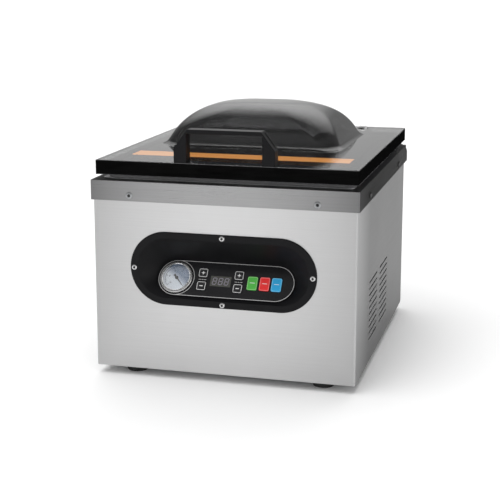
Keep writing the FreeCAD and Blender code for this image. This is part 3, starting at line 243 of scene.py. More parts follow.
def brushed(name, dark, light, rough, side_shade=1.0, ends=0.0, line=900.0, bump=0.05, **constants):
    """Brushed sheet: hair lines lie level on the walls, and run across on faces that look up or down.

    The side tone darkens the faces that look left or right: painted shade, fading in behind the front
    corner.
    ends sets how far the tone falls towards the left and right ends: a painted highlight in the middle.
    """
    made, tree = new_material(name)
    walls = grain(tree, (5.0, 5.0, line), 6.0, 0.65)
    level = grain(tree, (5.0, line, 5.0), 6.0, 0.65)
    cloud = grain(tree, even(9.0), 3.0)
    normal = add(tree, "SeparateXYZ", {0: add(tree, "NewGeometry").outputs["Normal"]}).outputs
    spot = add(tree, "SeparateXYZ", {0: add(tree, "TexCoord").outputs["Object"]}).outputs
    facing_up = between(tree, arithmetic(tree, "ABSOLUTE", normal["Z"]), 0.0, 1.0, 0.6, 0.8)
    hair = add(tree, "Mix", {"Factor": facing_up, "A": walls, "B": level}).outputs["Result"]
    both = arithmetic(tree, "ADD", arithmetic(tree, "MULTIPLY", hair, 0.6),
                      arithmetic(tree, "MULTIPLY", cloud, 0.4))
    # Painted highlight: near the front corner the side faces keep the full tone, further back the painted
    # side shade.
    painted_corner_light = between(tree, spot["Y"], 1.0, side_shade, -0.222, -0.12)
    across = between(tree, arithmetic(tree, "ABSOLUTE", normal["X"]), 1.0, painted_corner_light, 0.7, 0.97)
    # Painted highlight in the middle, falling to painted shade at the left and right ends.
    from_middle = arithmetic(tree, "POWER", arithmetic(tree, "ABSOLUTE", spot["X"]), 2.0)
    painted_end_falloff = between(tree, from_middle, 1.0, 1.0 - ends, 0.0, 0.033)
    painted_light_share = arithmetic(tree, "MULTIPLY", across, painted_end_falloff)
    colour = mixed(tree, between(tree, both, 0.0, 1.0), dark, light)
    painted_light_colour = add(tree, "VectorMath", {0: colour, "Scale": painted_light_share}, operation="SCALE").outputs["Vector"]
    surface(tree, painted_light_colour, between(tree, both, rough[0], rough[1]), hair, bump, 0.00005, **constants)
    return made


def woven(name, dark, light, pitch, rough, **constants):
    """Plain weave: two sets of bands that cross, each over the other in turn."""
    made, tree = new_material(name)
    spot = add(tree, "TexCoord").outputs["Object"]
    warp = add(tree, "TexWave", {"Vector": spot, "Scale": pitch, "Distortion": 0.2}, bands_direction="X")
    weft = add(tree, "TexWave", {"Vector": spot, "Scale": pitch, "Distortion": 0.2}, bands_direction="Y")
    cross = arithmetic(tree, "MULTIPLY", warp.outputs["Fac"], weft.outputs["Fac"])
    tone = arithmetic(tree, "ADD", arithmetic(tree, "MULTIPLY", cross, 0.7),
                      arithmetic(tree, "MULTIPLY", grain(tree, even(60.0)), 0.3))
    surface(tree, mixed(tree, tone, dark, light), between(tree, tone, rough[1], rough[0]), cross, 0.5,
            0.0001, **constants)
    return made


def wound(name, dark, light, pitch, direction):
    """Enamelled wire laid turn beside turn."""
    made, tree = new_material(name)
    spot = add(tree, "TexCoord").outputs["Object"]
    turns = add(tree, "TexWave", {"Vector": spot, "Scale": pitch, "Distortion": 1.0, "Detail": 2.0},
                bands_direction=direction).outputs["Fac"]
    surface(tree, mixed(tree, turns, dark, light), between(tree, turns, 0.45, 0.25), turns, 0.6, 0.0003,
            Metallic=1.0)
    return made


def circuit(name):
    """Solder mask with copper traces under it, and small pale pads."""
    made, tree = new_material(name)
    spot = add(tree, "TexCoord").outputs["Object"]
    cells = add(tree, "TexBrick", {"Vector": spot, "Scale": 160.0, "Mortar Size": 0.06,
                                   "Color1": (0.012, 0.10, 0.035, 1.0), "Color2": (0.018, 0.14, 0.05, 1.0),
                                   "Mortar": (0.06, 0.22, 0.08, 1.0)})
    pads = add(tree, "TexVoronoi", {"Vector": spot, "Scale": 260.0}).outputs["Distance"]
    shine = between(tree, pads, 1.0, 0.0, 0.12, 0.16)
    colour = mixed(tree, shine, cells.outputs["Color"], (0.6, 0.6, 0.55))
    surface(tree, colour, between(tree, grain(tree, even(300.0)), 0.3, 0.5), pads, 0.2, 0.0001)
    return made


def smoke(name, density, rough, **constants):
    """Tinted cast acrylic: a polished surface round a body that absorbs light."""
    made, tree = new_material(name)
    cloud = grain(tree, even(14.0), 4.0)
    tint = mixed(tree, cloud, (0.93, 0.93, 0.94), (1.0, 1.0, 1.0))
    _, out = surface(tree, tint, between(tree, cloud, rough[0], rough[1]), Transmission_Weight=1.0, IOR=1.49,
                     **constants)
    body = add(tree, "VolumeAbsorption", {"Color": (0.02, 0.02, 0.025, 1.0), "Density": density})
    tree.links.new(body.outputs["Volume"], out.inputs["Volume"])
    return made


def clear_glass(name):
    made, tree = new_material(name)
    cloud = grain(tree, even(60.0), 3.0)
    surface(tree, mixed(tree, cloud, (0.95, 0.97, 0.98), (1.0, 1.0, 1.0)), between(tree, cloud, 0.0, 0.04),
            Transmission_Weight=1.0, IOR=1.45)
    return made


def dial_with_painted_reflection(name, centre):
    """Printed dial: bluish white, turning blue grey towards its upper right as a painted reflection."""
    made, tree = new_material(name)
    spot = add(tree, "TexCoord").outputs["Object"]
    offset = add(tree, "VectorMath", {0: spot, 1: centre}, operation="SUBTRACT").outputs["Vector"]
    uneven = arithmetic(tree, "MULTIPLY", grain(tree, even(90.0)), 0.004)
    # Painted reflection: a ramp towards the upper right, broken a little by noise.
    painted_reflection_ramp = arithmetic(tree, "ADD", along(tree, offset, (0.6, 0.45, 0.65)), uneven)
    colour = mixed(tree, between(tree, painted_reflection_ramp, 0.0, 1.0, -0.002, 0.008), (0.86, 0.9, 0.96),
                   (0.24, 0.3, 0.42))
    surface(tree, colour, between(tree, grain(tree, even(400.0)), 0.35, 0.5))
    return made


def display_glass(name):
    made, tree = new_material(name)
    fine = grain(tree, even(900.0))
    surface(tree, mixed(tree, fine, (0.045, 0.047, 0.04), (0.075, 0.075, 0.066)),
            between(tree, fine, 0.12, 0.2), fine, 0.1, 0.00002)
    return made


# ---- finishes ----
face_lo, face_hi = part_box("panel_face")
face_normal = Vector((0.0, -math.cos(math.radians(CONTROL_TILT)), math.sin(math.radians(CONTROL_TILT))))
face_centre = (face_lo + face_hi) / 2 + face_normal * (FACE_T / 2 * MM)
FACE = Matrix.Translation(face_centre) @ Matrix.Rotation(math.radians(90.0 - CONTROL_TILT), 4, "X")
dial_centre = FACE @ Vector((GAUGE_X * MM, 0.0, DIAL_LEVEL * MM))

FINISHES = {
    # The wall and the band carry painted side shade, a painted corner highlight and a painted middle
    # highlight.
    "steel_wrap": brushed("brushed_wall_painted_light", (0.60, 0.60, 0.602), (0.68, 0.68, 0.682), (0.32, 0.44), 0.52, 0.28,
                          Metallic=1.0, Specular_Tint=(0.62, 0.62, 0.62, 1.0)),
    "steel_panel": brushed("brushed_back", (0.42, 0.42, 0.43), (0.5, 0.5, 0.51), (0.32, 0.45), Metallic=1.0),
    "steel_rim": brushed("brushed_band_painted_light", (0.29, 0.29, 0.292), (0.38, 0.38, 0.383), (0.24, 0.36), 0.38, 0.5,
                         Metallic=1.0, Specular_Tint=(0.2, 0.2, 0.2, 1.0)),
    "steel_tub": finish("pressed_steel", (0.45, 0.45, 0.46), (0.55, 0.55, 0.56), (0.28, 0.42),
                        even(500.0), 0.08, Metallic=1.0),
    "zinc_plate": finish("zinc_coat", (0.30, 0.31, 0.32), (0.48, 0.49, 0.5), (0.35, 0.6), even(90.0),
                         0.1, Metallic=1.0),
    "steel_bright": finish("bright_steel", (0.5, 0.5, 0.5), (0.68, 0.68, 0.68), (0.16, 0.3),
                           even(700.0), 0.1, 0.00003, Metallic=1.0),
    "black_plastic": finish("grained_black", (0.003, 0.003, 0.0035), (0.008, 0.008, 0.009), (0.36, 0.5),
                            even(1600.0), 0.25, 0.00006, Specular_IOR_Level=0.14),
    "black_gloss": finish("gloss_black", (0.008, 0.008, 0.009), (0.013, 0.013, 0.014), (0.14, 0.22),
                          even(500.0), 0.05, 0.00003, Specular_IOR_Level=0.3),
    "rubber_black": finish("black_rubber", (0.01, 0.01, 0.01), (0.025, 0.025, 0.025), (0.6, 0.8),
                           even(900.0), 0.4),
    "rubber_grey": finish("grey_rubber", (0.13, 0.13, 0.133), (0.19, 0.19, 0.195), (0.5, 0.7),
                          even(800.0), 0.3),
    "silicone_tan": finish("tan_silicone", (0.74, 0.33, 0.085), (0.88, 0.42, 0.12), (0.4, 0.55),
                           (120.0, 700.0, 700.0), 0.2, Subsurface_Weight=0.15, Subsurface_Scale=0.002),
    "aluminium": finish("milled_aluminium", (0.5, 0.51, 0.52), (0.66, 0.67, 0.68), (0.25, 0.42),
                        (12.0, 900.0, 900.0), 0.15, Metallic=1.0),
    "cast": finish("cast_paint", (0.07, 0.085, 0.105), (0.12, 0.14, 0.165), (0.45, 0.65), even(350.0),
                   0.6, 0.0004),
    "copper": wound("copper_wire", (0.22, 0.075, 0.03), (0.72, 0.33, 0.16), 260.0, "Z"),
    "brass": finish("turned_brass", (0.5, 0.36, 0.14), (0.7, 0.54, 0.26), (0.2, 0.38), even(600.0),
                    0.1, Metallic=1.0),
    "ptfe": woven("glass_cloth", (0.3, 0.17, 0.07), (0.56, 0.36, 0.18), 420.0, (0.35, 0.55)),
    "board_green": circuit("solder_mask"),
    "dial": dial_with_painted_reflection("dial_print_painted_reflection", dial_centre),
    "needle": finish("needle_black", (0.01, 0.01, 0.01), (0.03, 0.03, 0.032), (0.4, 0.55),
                     even(900.0), 0.1),
    "glass": clear_glass("gauge_glass_clear"),
    "window": display_glass("smoked_window"),
    "key_black": finish("key_cap_black", (0.008, 0.008, 0.009), (0.014, 0.014, 0.015), (0.25, 0.36),
                        even(1200.0), 0.15, 0.00004),
    "key_green": finish("key_cap_green", (0.045, 0.33, 0.035), (0.075, 0.42, 0.055), (0.3, 0.42),
                        even(1200.0), 0.15, 0.00004),
    "key_red": finish("key_cap_red", (0.6, 0.008, 0.01), (0.72, 0.015, 0.015), (0.3, 0.42),
                      even(1200.0), 0.15, 0.00004),
    "key_blue": finish("key_cap_blue", (0.004, 0.27, 0.54), (0.01, 0.34, 0.64), (0.3, 0.42),
                       even(1200.0), 0.15, 0.00004),
}
PLATE_SMOKE = smoke("smoke_plate", 62.0, (0.01, 0.05))
# Opaque black with no shine on the plate's sides: painted shade for the thick smoked acrylic seen edge-on.
EDGE_PAINTED_SHADE = finish("edge_black_painted_shade", (0.002, 0.002, 0.002), (0.005, 0.005, 0.005), (0.3, 0.4),
                    (40.0, 40.0, 400.0), 0.05, 0.00003, Specular_IOR_Level=0.0)
# Grey on the plate's bevels: a painted highlight line along its edges.
EDGE_PAINTED_HIGHLIGHT = finish("edge_bevel_painted_highlight", (0.05, 0.05, 0.052), (0.09, 0.09, 0.093), (0.2, 0.32),
                   even(300.0), 0.08, 0.00003)
DOME_SMOKE = smoke("smoke_dome", 260.0, (0.03, 0.09), Specular_IOR_Level=0.3)
FINISHES["smoke_acrylic"] = PLATE_SMOKE
PRINT = finish("print_grey", (0.36, 0.36, 0.36), (0.5, 0.5, 0.5), (0.4, 0.55), even(900.0), 0.1, 0.00002)
PRINT_WHITE = finish("print_white", (0.7, 0.7, 0.7), (0.85, 0.85, 0.85), (0.4, 0.55), even(900.0), 0.1,
                     0.00002)
DIAL_INK = finish("dial_ink", (0.01, 0.015, 0.04), (0.03, 0.035, 0.07), (0.4, 0.55), even(900.0), 0.1,
                  0.00002)
SEGMENT = finish("segment_grey", (0.16, 0.15, 0.18), (0.24, 0.22, 0.26), (0.25, 0.4), even(900.0), 0.1,
                 0.00002)
BORDERS = {
    "key_start": finish("border_green", (0.2, 0.52, 0.16), (0.28, 0.6, 0.22), (0.3, 0.45), even(900.0)),
    "key_stop": finish("border_red", (0.75, 0.16, 0.16), (0.85, 0.22, 0.22), (0.3, 0.45), even(900.0)),
    "key_seal": finish("border_blue", (0.12, 0.46, 0.7), (0.2, 0.54, 0.78), (0.3, 0.45), even(900.0)),
}
# The adhesive glows, though it is no lamp: painted light that keeps the pad bright under the smoked plate.
BOND_PAINTED_GLOW = finish("tan_bond_painted_glow", (0.80, 0.36, 0.09), (0.92, 0.43, 0.12), (0.45, 0.6), (60.0, 500.0, 500.0), 0.2,
              Emission_Color=(1.0, 0.42, 0.11, 1.0), Emission_Strength=4.2)

for part in frame["record"]["subparts"]:
    holder = frame["nodes"][part["node"]].data
    holder.materials.clear()
    holder.materials.append(FINISHES[part["material_slot"]])


# ---- mesh helpers ----
def shade(mesh):
    """Smooth shading that keeps edges sharp where the faces turn by more than 35 degrees."""
    for polygon in mesh.polygons:
        polygon.use_smooth = True
    mesh.set_sharp_from_angle(angle=math.radians(35.0))


def piece(name, bm, made, body, place=None):
    """A mesh built in millimetres, put in place and made to ride on a body."""
    bmesh.ops.recalc_face_normals(bm, faces=bm.faces)
    bmesh.ops.transform(bm, matrix=(place or Matrix.Identity(4)) @ Matrix.Scale(MM, 4), verts=bm.verts)
    mesh = bpy.data.meshes.new(name)
    bm.to_mesh(mesh)
    bm.free()
    shade(mesh)
    mesh.materials.append(made)
    obj = bpy.data.objects.new(name, mesh)
    bpy.context.scene.collection.objects.link(obj)
    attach(obj, body)
    return obj


def prism(bm, outline, z0, z1):
    """A closed plate whose outline is a list of (x, y) points."""
    low = [bm.verts.new((x, y, z0)) for x, y in outline]
    high = [bm.verts.new((x, y, z1)) for x, y in outline]
    bm.faces.new(list(reversed(low)))
    bm.faces.new(high)
    for i in range(len(outline)):
        j = (i + 1) % len(outline)
        bm.faces.new((low[i], low[j], high[j], high[i]))


def band(bm, outer, inner, z0, z1):
    """A closed flat ring between two outlines with the same number of points."""
    loops = [[bm.verts.new((x, y, z)) for x, y in line] for line, z in
             ((outer, z0), (outer, z1), (inner, z1), (inner, z0))]
    for a, b in zip(loops, loops[1:] + loops[:1]):
        for i in range(len(outer)):
            j = (i + 1) % len(outer)
            bm.faces.new((a[i], a[j], b[j], b[i]))


def arc(cx, cy, r, start, end, steps):
    turns = [math.radians(start + (end - start) * i / steps) for i in range(steps + 1)]
    return [(cx + r * math.cos(t), cy + r * math.sin(t)) for t in turns]


def rounded(cx, cy, half_x, half_y, r, steps=8):
    points = []
    for sx, sy, start in ((1, -1, -90.0), (1, 1, 0.0), (-1, 1, 90.0), (-1, -1, 180.0)):
        points += arc(cx + sx * (half_x - r), cy + sy * (half_y - r), r, start, start + 90.0, steps)
    return points


def frame_line(bm, cx, cy, half_x, half_y, r, width, z0, z1):
    outer = rounded(cx, cy, half_x, half_y, r)
    inner = rounded(cx, cy, half_x - width, half_y - width, r - width)
    band(bm, outer, inner, z0, z1)


def turned(bm, x, y, profile, steps=40):
    """A closed ring turned about an upright axis. The profile is a closed list of (radius, height)."""
    turns = [2 * math.pi * i / steps for i in range(steps)]
    loops = [[bm.verts.new((x + r * math.cos(turn), y + r * math.sin(turn), z)) for turn in turns]
             for r, z in profile]
    for a, b in zip(loops, loops[1:] + loops[:1]):
        for i in range(steps):
            j = (i + 1) % steps
            bm.faces.new((a[i], a[j], b[j], b[i]))


def append(target, source):
    """Add one mesh under construction to another, and free it."""
    mesh = bpy.data.meshes.new("part")
    source.to_mesh(mesh)
    source.free()
    target.from_mesh(mesh)
    bpy.data.meshes.remove(mesh)


# ---- lid: plate and dome of smoked acrylic ----
def lid_plate():
    """Closed plate with small bevels. Only the CAD lid has the well under the dome and the screw holes."""
    lo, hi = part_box("lid_cover")
    x1 = hi.x / MM
    y0 = lo.y / MM
    y1 = hi.y / MM
    bottom = lo.z / MM - CONTACT
    top = lo.z / MM + LID_T + CONTACT
    bm = bmesh.new()
    prism(bm, [(-x1, y0), (x1, y0), (x1, y1), (-x1, y1)], bottom, top)
    bmesh.ops.bevel(bm, geom=bm.edges[:], offset=PLATE_BEVEL, segments=3, profile=0.5, affect="EDGES")
    plate = piece("lid_plate", bm, PLATE_SMOKE, "lid")
    plate.data.materials.append(EDGE_PAINTED_SHADE)
    plate.data.materials.append(EDGE_PAINTED_HIGHLIGHT)
    near = PLATE_RIM * MM
    for polygon in plate.data.polygons:
        x, y, _ = polygon.center
        level = abs(polygon.normal.z)
        outer = abs(x) > hi.x - near or y < lo.y + near or y > hi.y - near
        wall = outer and level < 0.2
        # The wide faces are shaded flat, because smooth shading bends their normals towards the bevels.
        polygon.use_smooth = not wall and level < 0.99
        # The plate's upright sides get the black painted shade.
        if outer and level < 0.95:
            # Bevel faces get the grey painted highlight line.
            polygon.material_index = 1 if wall else 2
    return plate


def dome_corner(shrink, least):
    """Corner radius of an outline, from its lesser half width: it widens as the outline shrinks."""
    widening = DOME_CORNER + (1.0 - shrink) * CORNER_GROWTH * least
    widest = 0.9 * least
    corner = -CORNER_SOFT * math.log(math.exp(-widening / CORNER_SOFT) + math.exp(-widest / CORNER_SOFT))
    return min(max(corner, 0.2 * least), 0.96 * least)


def dome_rows(inset, height, base, flare):
    """Outlines of the pillow-shaped dome from its base up, each a list of points."""
    half_x = DOME_HALF_W - inset
    half_y = DOME_HALF_D - inset
    low = math.sin(DOME_FOOT) ** DOME_POWER
    high = math.sin(DOME_CROWN) ** DOME_POWER
    made = []
    for i in range(DOME_ROWS):
        phi = DOME_FOOT + (DOME_CROWN - DOME_FOOT) * (i / (DOME_ROWS - 1)) ** DOME_SPACING
        rise = (math.sin(phi) ** DOME_POWER - low) / (high - low)
        shrink = (math.cos(phi) / math.cos(DOME_FOOT)) ** DOME_POWER
        a = half_x * shrink
        b = half_y * shrink
        corner = dome_corner(shrink, min(a, b)) if i else DOME_CORNER
        skirt = flare * max(0.0, 1.0 - height * rise / FLARE_H) ** 2
        outline = rounded(DOME_MID_X, DOME_MID_Y, a + skirt, b + skirt, corner + skirt, 24)
        made.append([(x, y, base + height * rise) for x, y in outline])
    return made


def lid_dome():
    """Hollow dome: an outer and an inner shell, joined at the foot."""
    lo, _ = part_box("lid_cover")
    base = lo.z / MM + LID_T + CONTACT + DOME_GAP
    bm = bmesh.new()
    feet = []
    for inset, height, flare in ((0.0, DOME_H, FLARE), (DOME_WALL, DOME_H - DOME_WALL, 0.0)):
        rows = [[bm.verts.new(point) for point in row] for row in dome_rows(inset, height, base, flare)]
        for lower, upper in zip(rows, rows[1:]):
            for i in range(len(lower)):
                j = (i + 1) % len(lower)
                bm.faces.new((lower[i], lower[j], upper[j], upper[i]))
        bm.faces.new(rows[-1])
        feet.append(rows[0])
    outer, inner = feet
    for i in range(len(outer)):
        j = (i + 1) % len(outer)
        bm.faces.new((outer[i], outer[j], inner[j], inner[i]))
    bmesh.ops.remove_doubles(bm, verts=bm.verts, dist=0.0005)
    return piece("lid_dome", bm, DOME_SMOKE, "lid")


def screw_sleeves():
    """Black bushes round the handle's screws, with a pocket for each head."""
    z0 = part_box("lid_cover")[0].z / MM
    foot_r = SLEEVE_FOOT_R - SLEEVE_PLAY
    shank_r = SLEEVE_R - SLEEVE_PLAY
    shoulder = z0 + SLEEVE_FOOT - SLEEVE_SHOULDER
    seat = z0 + SLEEVE_SEAT
    top = z0 + LID_T
    profile = [(SLEEVE_SEAT_R, z0), (foot_r, z0), (foot_r, shoulder), (shank_r, shoulder), (shank_r, top),
               (SLEEVE_BORE_R, top), (SLEEVE_BORE_R, seat), (SLEEVE_SEAT_R, seat)]
    bm = bmesh.new()
    for x, y in HANDLE_HOLES:
        turned(bm, x, y, profile)
    piece("screw_sleeves", bm, FINISHES["rubber_black"], "lid")


def pad_bond_painted_glow():
    """Adhesive that holds the pad under the lid plate, seen only through the plate. It glows as painted
    light.
    """
    lo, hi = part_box("pressure_pad")
    middle_y = (lo.y + hi.y) / 2 / MM
    outline = rounded(0.0, middle_y, hi.x / MM - BOND_INSET, (hi.y - lo.y) / 2 / MM - BOND_INSET, 1.5)
    bm = bmesh.new()
    prism(bm, outline, hi.z / MM - BOND_SINK, hi.z / MM + BOND_T)
    piece("pad_bond_painted_glow", bm, BOND_PAINTED_GLOW, "lid")


def pan_screws(name, node, places, radius, height, slot_name="steel_bright"):
    """Pan-head screws: a ring with a rolled edge round a deep recess, with a black disc low in it as painted
    shade.
    """
    steel = bmesh.new()
    # dark gathers the black discs, painted shade in the recesses.
    dark = bmesh.new()
    recess = 0.46 * radius
    head = [(recess, SCREW_LIFT), (radius, SCREW_LIFT), (radius, 0.35 * height),
            (0.9 * radius, 0.75 * height), (0.72 * radius, height), (recess + 0.25, height),
            (recess, 0.85 * height)]
    for place, out in places:
        turn = Matrix.Translation(place) @ Vector(out).to_track_quat("Z", "Y").to_matrix().to_4x4()
        ring = bmesh.new()
        turned(ring, 0.0, 0.0, head, 36)
        bmesh.ops.transform(ring, matrix=turn, verts=ring.verts)
        append(steel, ring)
        # Painted shade: a black disc low in the recess.
        shade_disc = bmesh.new()
        prism(shade_disc, arc(0.0, 0.0, recess - 0.03, 0.0, 345.0, 23), SCREW_LIFT, 0.3 * height)
        bmesh.ops.transform(shade_disc, matrix=turn, verts=shade_disc.verts)
        append(dark, shade_disc)
    heads = piece(name + "_heads", steel, FINISHES[slot_name], "case")
    recess_shade_discs = piece(name + "_recesses", dark, FINISHES["rubber_black"], "case")
    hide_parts(node)
    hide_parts(node)


pan_screws("rim_screw", "rim_screws", RIM_FRONT_SCREWS, RIM_SCREW_R, RIM_SCREW_H, "zinc_plate")
# The side screws take the band's finish, with its painted side shade and painted end shade.
pan_screws("rim_side_screw", "rim_screws", RIM_SIDE_SCREWS, RIM_SCREW_R, RIM_SCREW_H, "steel_rim")
pan_screws("panel_screw", "panel_screws", PANEL_SCREWS, PANEL_SCREW_R, PANEL_SCREW_H)
plate = lid_plate()
dome = lid_dome()
screw_sleeves()
pad_bond_painted_glow()
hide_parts("lid_cover")
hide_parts("lid_cover")


# ---- prints on the control face ----
def face_outline():
    """Line round the face: a ring round the gauge, and a long loop that leaves it and comes back."""
    start_x = GAUGE_X + 0.5
    inner_r = OUTLINE_R - OUTLINE_W
    outer = arc(FACE_END_X, 0.0, OUTLINE_R, 90.0, -90.0, 48)
    inner = arc(FACE_END_X, 0.0, inner_r, 90.0, -90.0, 48)
    outer = [(start_x, OUTLINE_R)] + outer + [(start_x, -OUTLINE_R)]
    inner = [(start_x, inner_r)] + inner + [(start_x, -inner_r)]
    bm = bmesh.new()
    band(bm, arc(GAUGE_X, 0.0, OUTLINE_R, 0.0, 356.25, 95), arc(GAUGE_X, 0.0, inner_r, 0.0, 356.25, 95),
         PRINT_LOW, PRINT_HIGH)
    prism(bm, outer + inner[::-1], PRINT_LOW, PRINT_HIGH + PRINT_STEP)
    piece("face_outline", bm, PRINT, "case", FACE)


def small_key_print(name, x, y, plus):
    """Line round a key's edge, with a plus or a minus inside it."""
    z0 = KEY_TOP + PRINT_LOW
    z1 = KEY_TOP + PRINT_HIGH
    bm = bmesh.new()
    frame_line(bm, x, y, 5.8, 5.8, 2.0, 0.55, z0, z1)
    if plus:
        corners = [(-PLUS_ARM, -PLUS_HALF), (-PLUS_HALF, -PLUS_HALF), (-PLUS_HALF, -PLUS_ARM)]
        half = corners + [(-a, b) for a, b in corners[::-1]]
        sign = half + [(-a, -b) for a, b in half]
        prism(bm, [(x + a, y + b) for a, b in sign], z0, z1)
    else:
        prism(bm, rounded(x, y, PLUS_ARM, PLUS_HALF + 0.1, 0.3, 3), z0, z1)
    piece(name + "_print", bm, PRINT_WHITE, name, FACE)


def tall_key_print(name, x, y):
    """Coloured border on a key's top, with two dashes inside it."""
    z0 = KEY_TOP + PRINT_LOW
    z1 = KEY_TOP + PRINT_HIGH
    bm = bmesh.new()
    frame_line(bm, x, y, 6.5, 9.2, 1.9, 0.8, z0, z1)
    piece(name + "_border", bm, BORDERS[name], name, FACE)
    bm = bmesh.new()
    for dx, half in ((-2.1, 1.2), (1.2, 2.2)):
        prism(bm, rounded(x + dx, y + 0.5, half, DASH_HALF, DASH_R, 3), z0, z1)
    piece(name + "_mark", bm, PRINT_WHITE, name, FACE)


def label_dashes():
    """Short plain dashes where the face carries its small captions."""
    bm = bmesh.new()
    for x, y in CAPTIONS:
        for dx, half in CAPTION_DASHES:
            prism(bm, rounded(x + dx, y, half, DASH_HALF, DASH_R, 3), PRINT_LOW, PRINT_HIGH)
    piece("label_dashes", bm, PRINT, "case", FACE)


def segment_digits():
    """Three seven-segment figures, unlit, all segments showing."""
    bars = [((-1, 1), (1, 1)), ((-1, 0), (1, 0)), ((-1, -1), (1, -1)),
            ((-1, 0), (-1, 1)), ((1, 0), (1, 1)), ((-1, -1), (-1, 0)), ((1, -1), (1, 0))]
    bm = bmesh.new()
    for digit in (-DIGIT_PITCH, 0.0, DIGIT_PITCH):
        centre_x = DISPLAY_X + digit
        for (ax, ay), (bx, by) in bars:
            a = Vector((ax * DIGIT_HALF_W, ay * DIGIT_HALF_H))
            b = Vector((bx * DIGIT_HALF_W, by * DIGIT_HALF_H))
            course = (b - a).normalized()
            side = Vector((-course.y, course.x)) * BAR_HALF
            tip = course * BAR_HALF
            a = a + course * BAR_GAP
            b = b - course * BAR_GAP
            outline = [a, a + tip - side, b - tip - side, b, b - tip + side, a + tip + side]
            slanted = [(centre_x + p.x + p.y * DIGIT_SLANT, DISPLAY_Y + p.y) for p in outline]
            prism(bm, slanted, *DIGIT_LEVELS)
    piece("display_digits", bm, SEGMENT, "case", FACE)


def dial_tick(bm, turn, inner_r, half):
    out = Vector((math.cos(turn), math.sin(turn)))
    side = Vector((-out.y, out.x)) * half
    corners = [out * inner_r - side, out * TICK_R - side, out * TICK_R + side, out * inner_r + side]
    prism(bm, [(GAUGE_X + p.x, p.y) for p in corners], DIAL_LOW, DIAL_HIGH)


def dial_figure(bm, turn, text):
    curve = bpy.data.curves.new("figure", "FONT")
    curve.body = text
    curve.size = FIGURE_H
    curve.align_x = "CENTER"
    curve.align_y = "CENTER"
    curve.extrude = FIGURE_T
    holder = bpy.data.objects.new("figure", curve)
    bpy.context.scene.collection.objects.link(holder)
    bpy.context.view_layer.update()
    shape = bpy.data.meshes.new_from_object(holder.evaluated_get(bpy.context.evaluated_depsgraph_get()))
    x = GAUGE_X + FIGURE_R * math.cos(turn)
    y = FIGURE_R * math.sin(turn)
    shape.transform(Matrix.Translation((x, y, DIAL_LOW + FIGURE_T)))
    bm.from_mesh(shape)
    bpy.data.objects.remove(holder)


def dial_marks():
    """Scale round the dial: fine and long ticks, an arc and plain figures."""
    bm = bmesh.new()
    for i in range(TICKS + 1):
        turn = math.radians(NEEDLE_START + GAUGE_SWEEP * i / TICKS)
        if i % 10 == 0:
            dial_tick(bm, turn, 13.2, 0.22)
        elif i % 5 == 0:
            dial_tick(bm, turn, 14.6, 0.12)
        else:
            dial_tick(bm, turn, 15.2, 0.12)
    end = NEEDLE_START + GAUGE_SWEEP
    rail = arc(GAUGE_X, 0.0, RAIL_R[0], NEEDLE_START, end, RAIL_STEPS)
    rail += arc(GAUGE_X, 0.0, RAIL_R[1], end, NEEDLE_START, RAIL_STEPS)
    prism(bm, rail, DIAL_LOW, DIAL_HIGH + 0.01)
    for i in range(FIGURES + 1):
        dial_figure(bm, math.radians(NEEDLE_START + GAUGE_SWEEP * i / FIGURES), str(2 * i))
    piece("dial_marks", bm, DIAL_INK, "case", FACE)


face_outline()
label_dashes()
segment_digits()
dial_marks()
for key_name, (key_x, key_y, is_plus) in SMALL_KEYS.items():
    small_key_print(key_name, key_x, key_y, is_plus)
for key_name, (key_x, key_y) in TALL_KEYS.items():
    tall_key_print(key_name, key_x, key_y)


# ---- floor, light and camera ----
def floor():
    made, tree = new_material("pale_floor")
    cloud = grain(tree, even(1.5), 3.0)
    colour = mixed(tree, cloud, (0.90, 0.90, 0.90), (0.92, 0.92, 0.92))
    surface(tree, colour, between(tree, cloud, 0.8, 0.9), Specular_IOR_Level=0.1)
    bm = bmesh.new()
    bmesh.ops.create_grid(bm, x_segments=4, y_segments=4, size=30.0)
    mesh = bpy.data.meshes.new("floor")
    bm.to_mesh(mesh)
    bm.free()
    mesh.materials.append(made)
    obj = bpy.data.objects.new("floor", mesh)
    bpy.context.scene.collection.objects.link(obj)


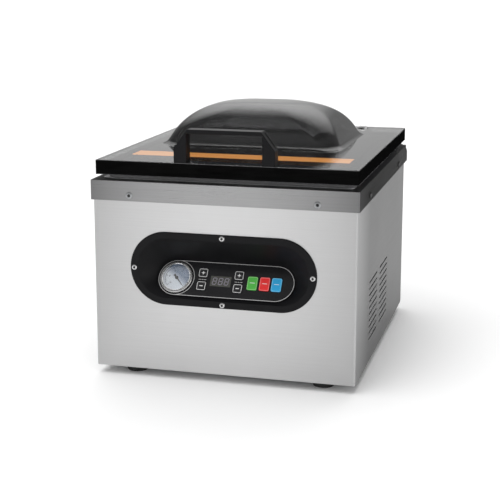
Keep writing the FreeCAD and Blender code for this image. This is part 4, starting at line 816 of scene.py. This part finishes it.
def soft_light(name, place, target, size, power):
    light = bpy.data.lights.new(name, "AREA")
    light.shape = "RECTANGLE"
    light.size = size[0]
    light.size_y = size[1]
    light.energy = power
    obj = bpy.data.objects.new(name, light)
    obj.location = place
    obj.rotation_mode = "QUATERNION"
    obj.rotation_quaternion = (Vector(place) - Vector(target)).to_track_quat("Z", "Y")
    obj.visible_camera = False
    bpy.context.scene.collection.objects.link(obj)
    return obj


def studio():
    """Even pale walls with soft bright fields, one low light in front and a soft sun."""
    world = bpy.data.worlds.new("studio")
    world.use_nodes = True
    tree = world.node_tree
    tree.nodes.clear()
    direction = add(tree, "TexCoord").outputs["Generated"]
    strength = SKY
    for middle, bright, outer, inner in GLOWS:
        glow = between(tree, along(tree, direction, middle), 0.0, bright, outer, inner)
        strength = arithmetic(tree, "ADD", strength, glow)
    walls = add(tree, "Background", {"Color": (1.0, 1.0, 1.0, 1.0), "Strength": strength})
    add(tree, "OutputWorld", {"Surface": walls.outputs["Background"]})
    bpy.context.scene.world = world
    key = soft_light("key_light", (-1.1, -3.0, 0.9), (0.0, 0.0, 0.15), (1.8, 0.9), 18.0)
    key.visible_glossy = False
    sun = bpy.data.lights.new("sky_light", "SUN")
    sun.energy = 1.9
    sun.angle = math.radians(70.0)
    holder = bpy.data.objects.new("sky_light", sun)
    holder.rotation_mode = "QUATERNION"
    holder.rotation_quaternion = Vector((-0.3, -0.35, 1.0)).to_track_quat("Z", "Y")
    holder.visible_glossy = False
    bpy.context.scene.collection.objects.link(holder)


def camera():
    """Camera at the viewing angle that the case's corners and edges give."""
    data = bpy.data.cameras.new("camera")
    data.sensor_width = SENSOR_MM
    data.lens = LENS_MM
    data.shift_y = CAMERA_SHIFT
    data.clip_start = 0.05
    data.clip_end = 100.0
    obj = bpy.data.objects.new("camera", data)
    obj.location = CAMERA_PLACE
    reach = math.cos(CAMERA_PITCH)
    forward = Vector((-math.sin(CAMERA_YAW) * reach, math.cos(CAMERA_YAW) * reach, -math.sin(CAMERA_PITCH)))
    obj.rotation_mode = "QUATERNION"
    obj.rotation_quaternion = forward.to_track_quat("-Z", "Y")
    bpy.context.scene.collection.objects.link(obj)
    bpy.context.scene.camera = obj


floor()
studio()
camera()
bpy.context.scene.view_settings.view_transform = "Standard"

bpy.context.view_layer.update()
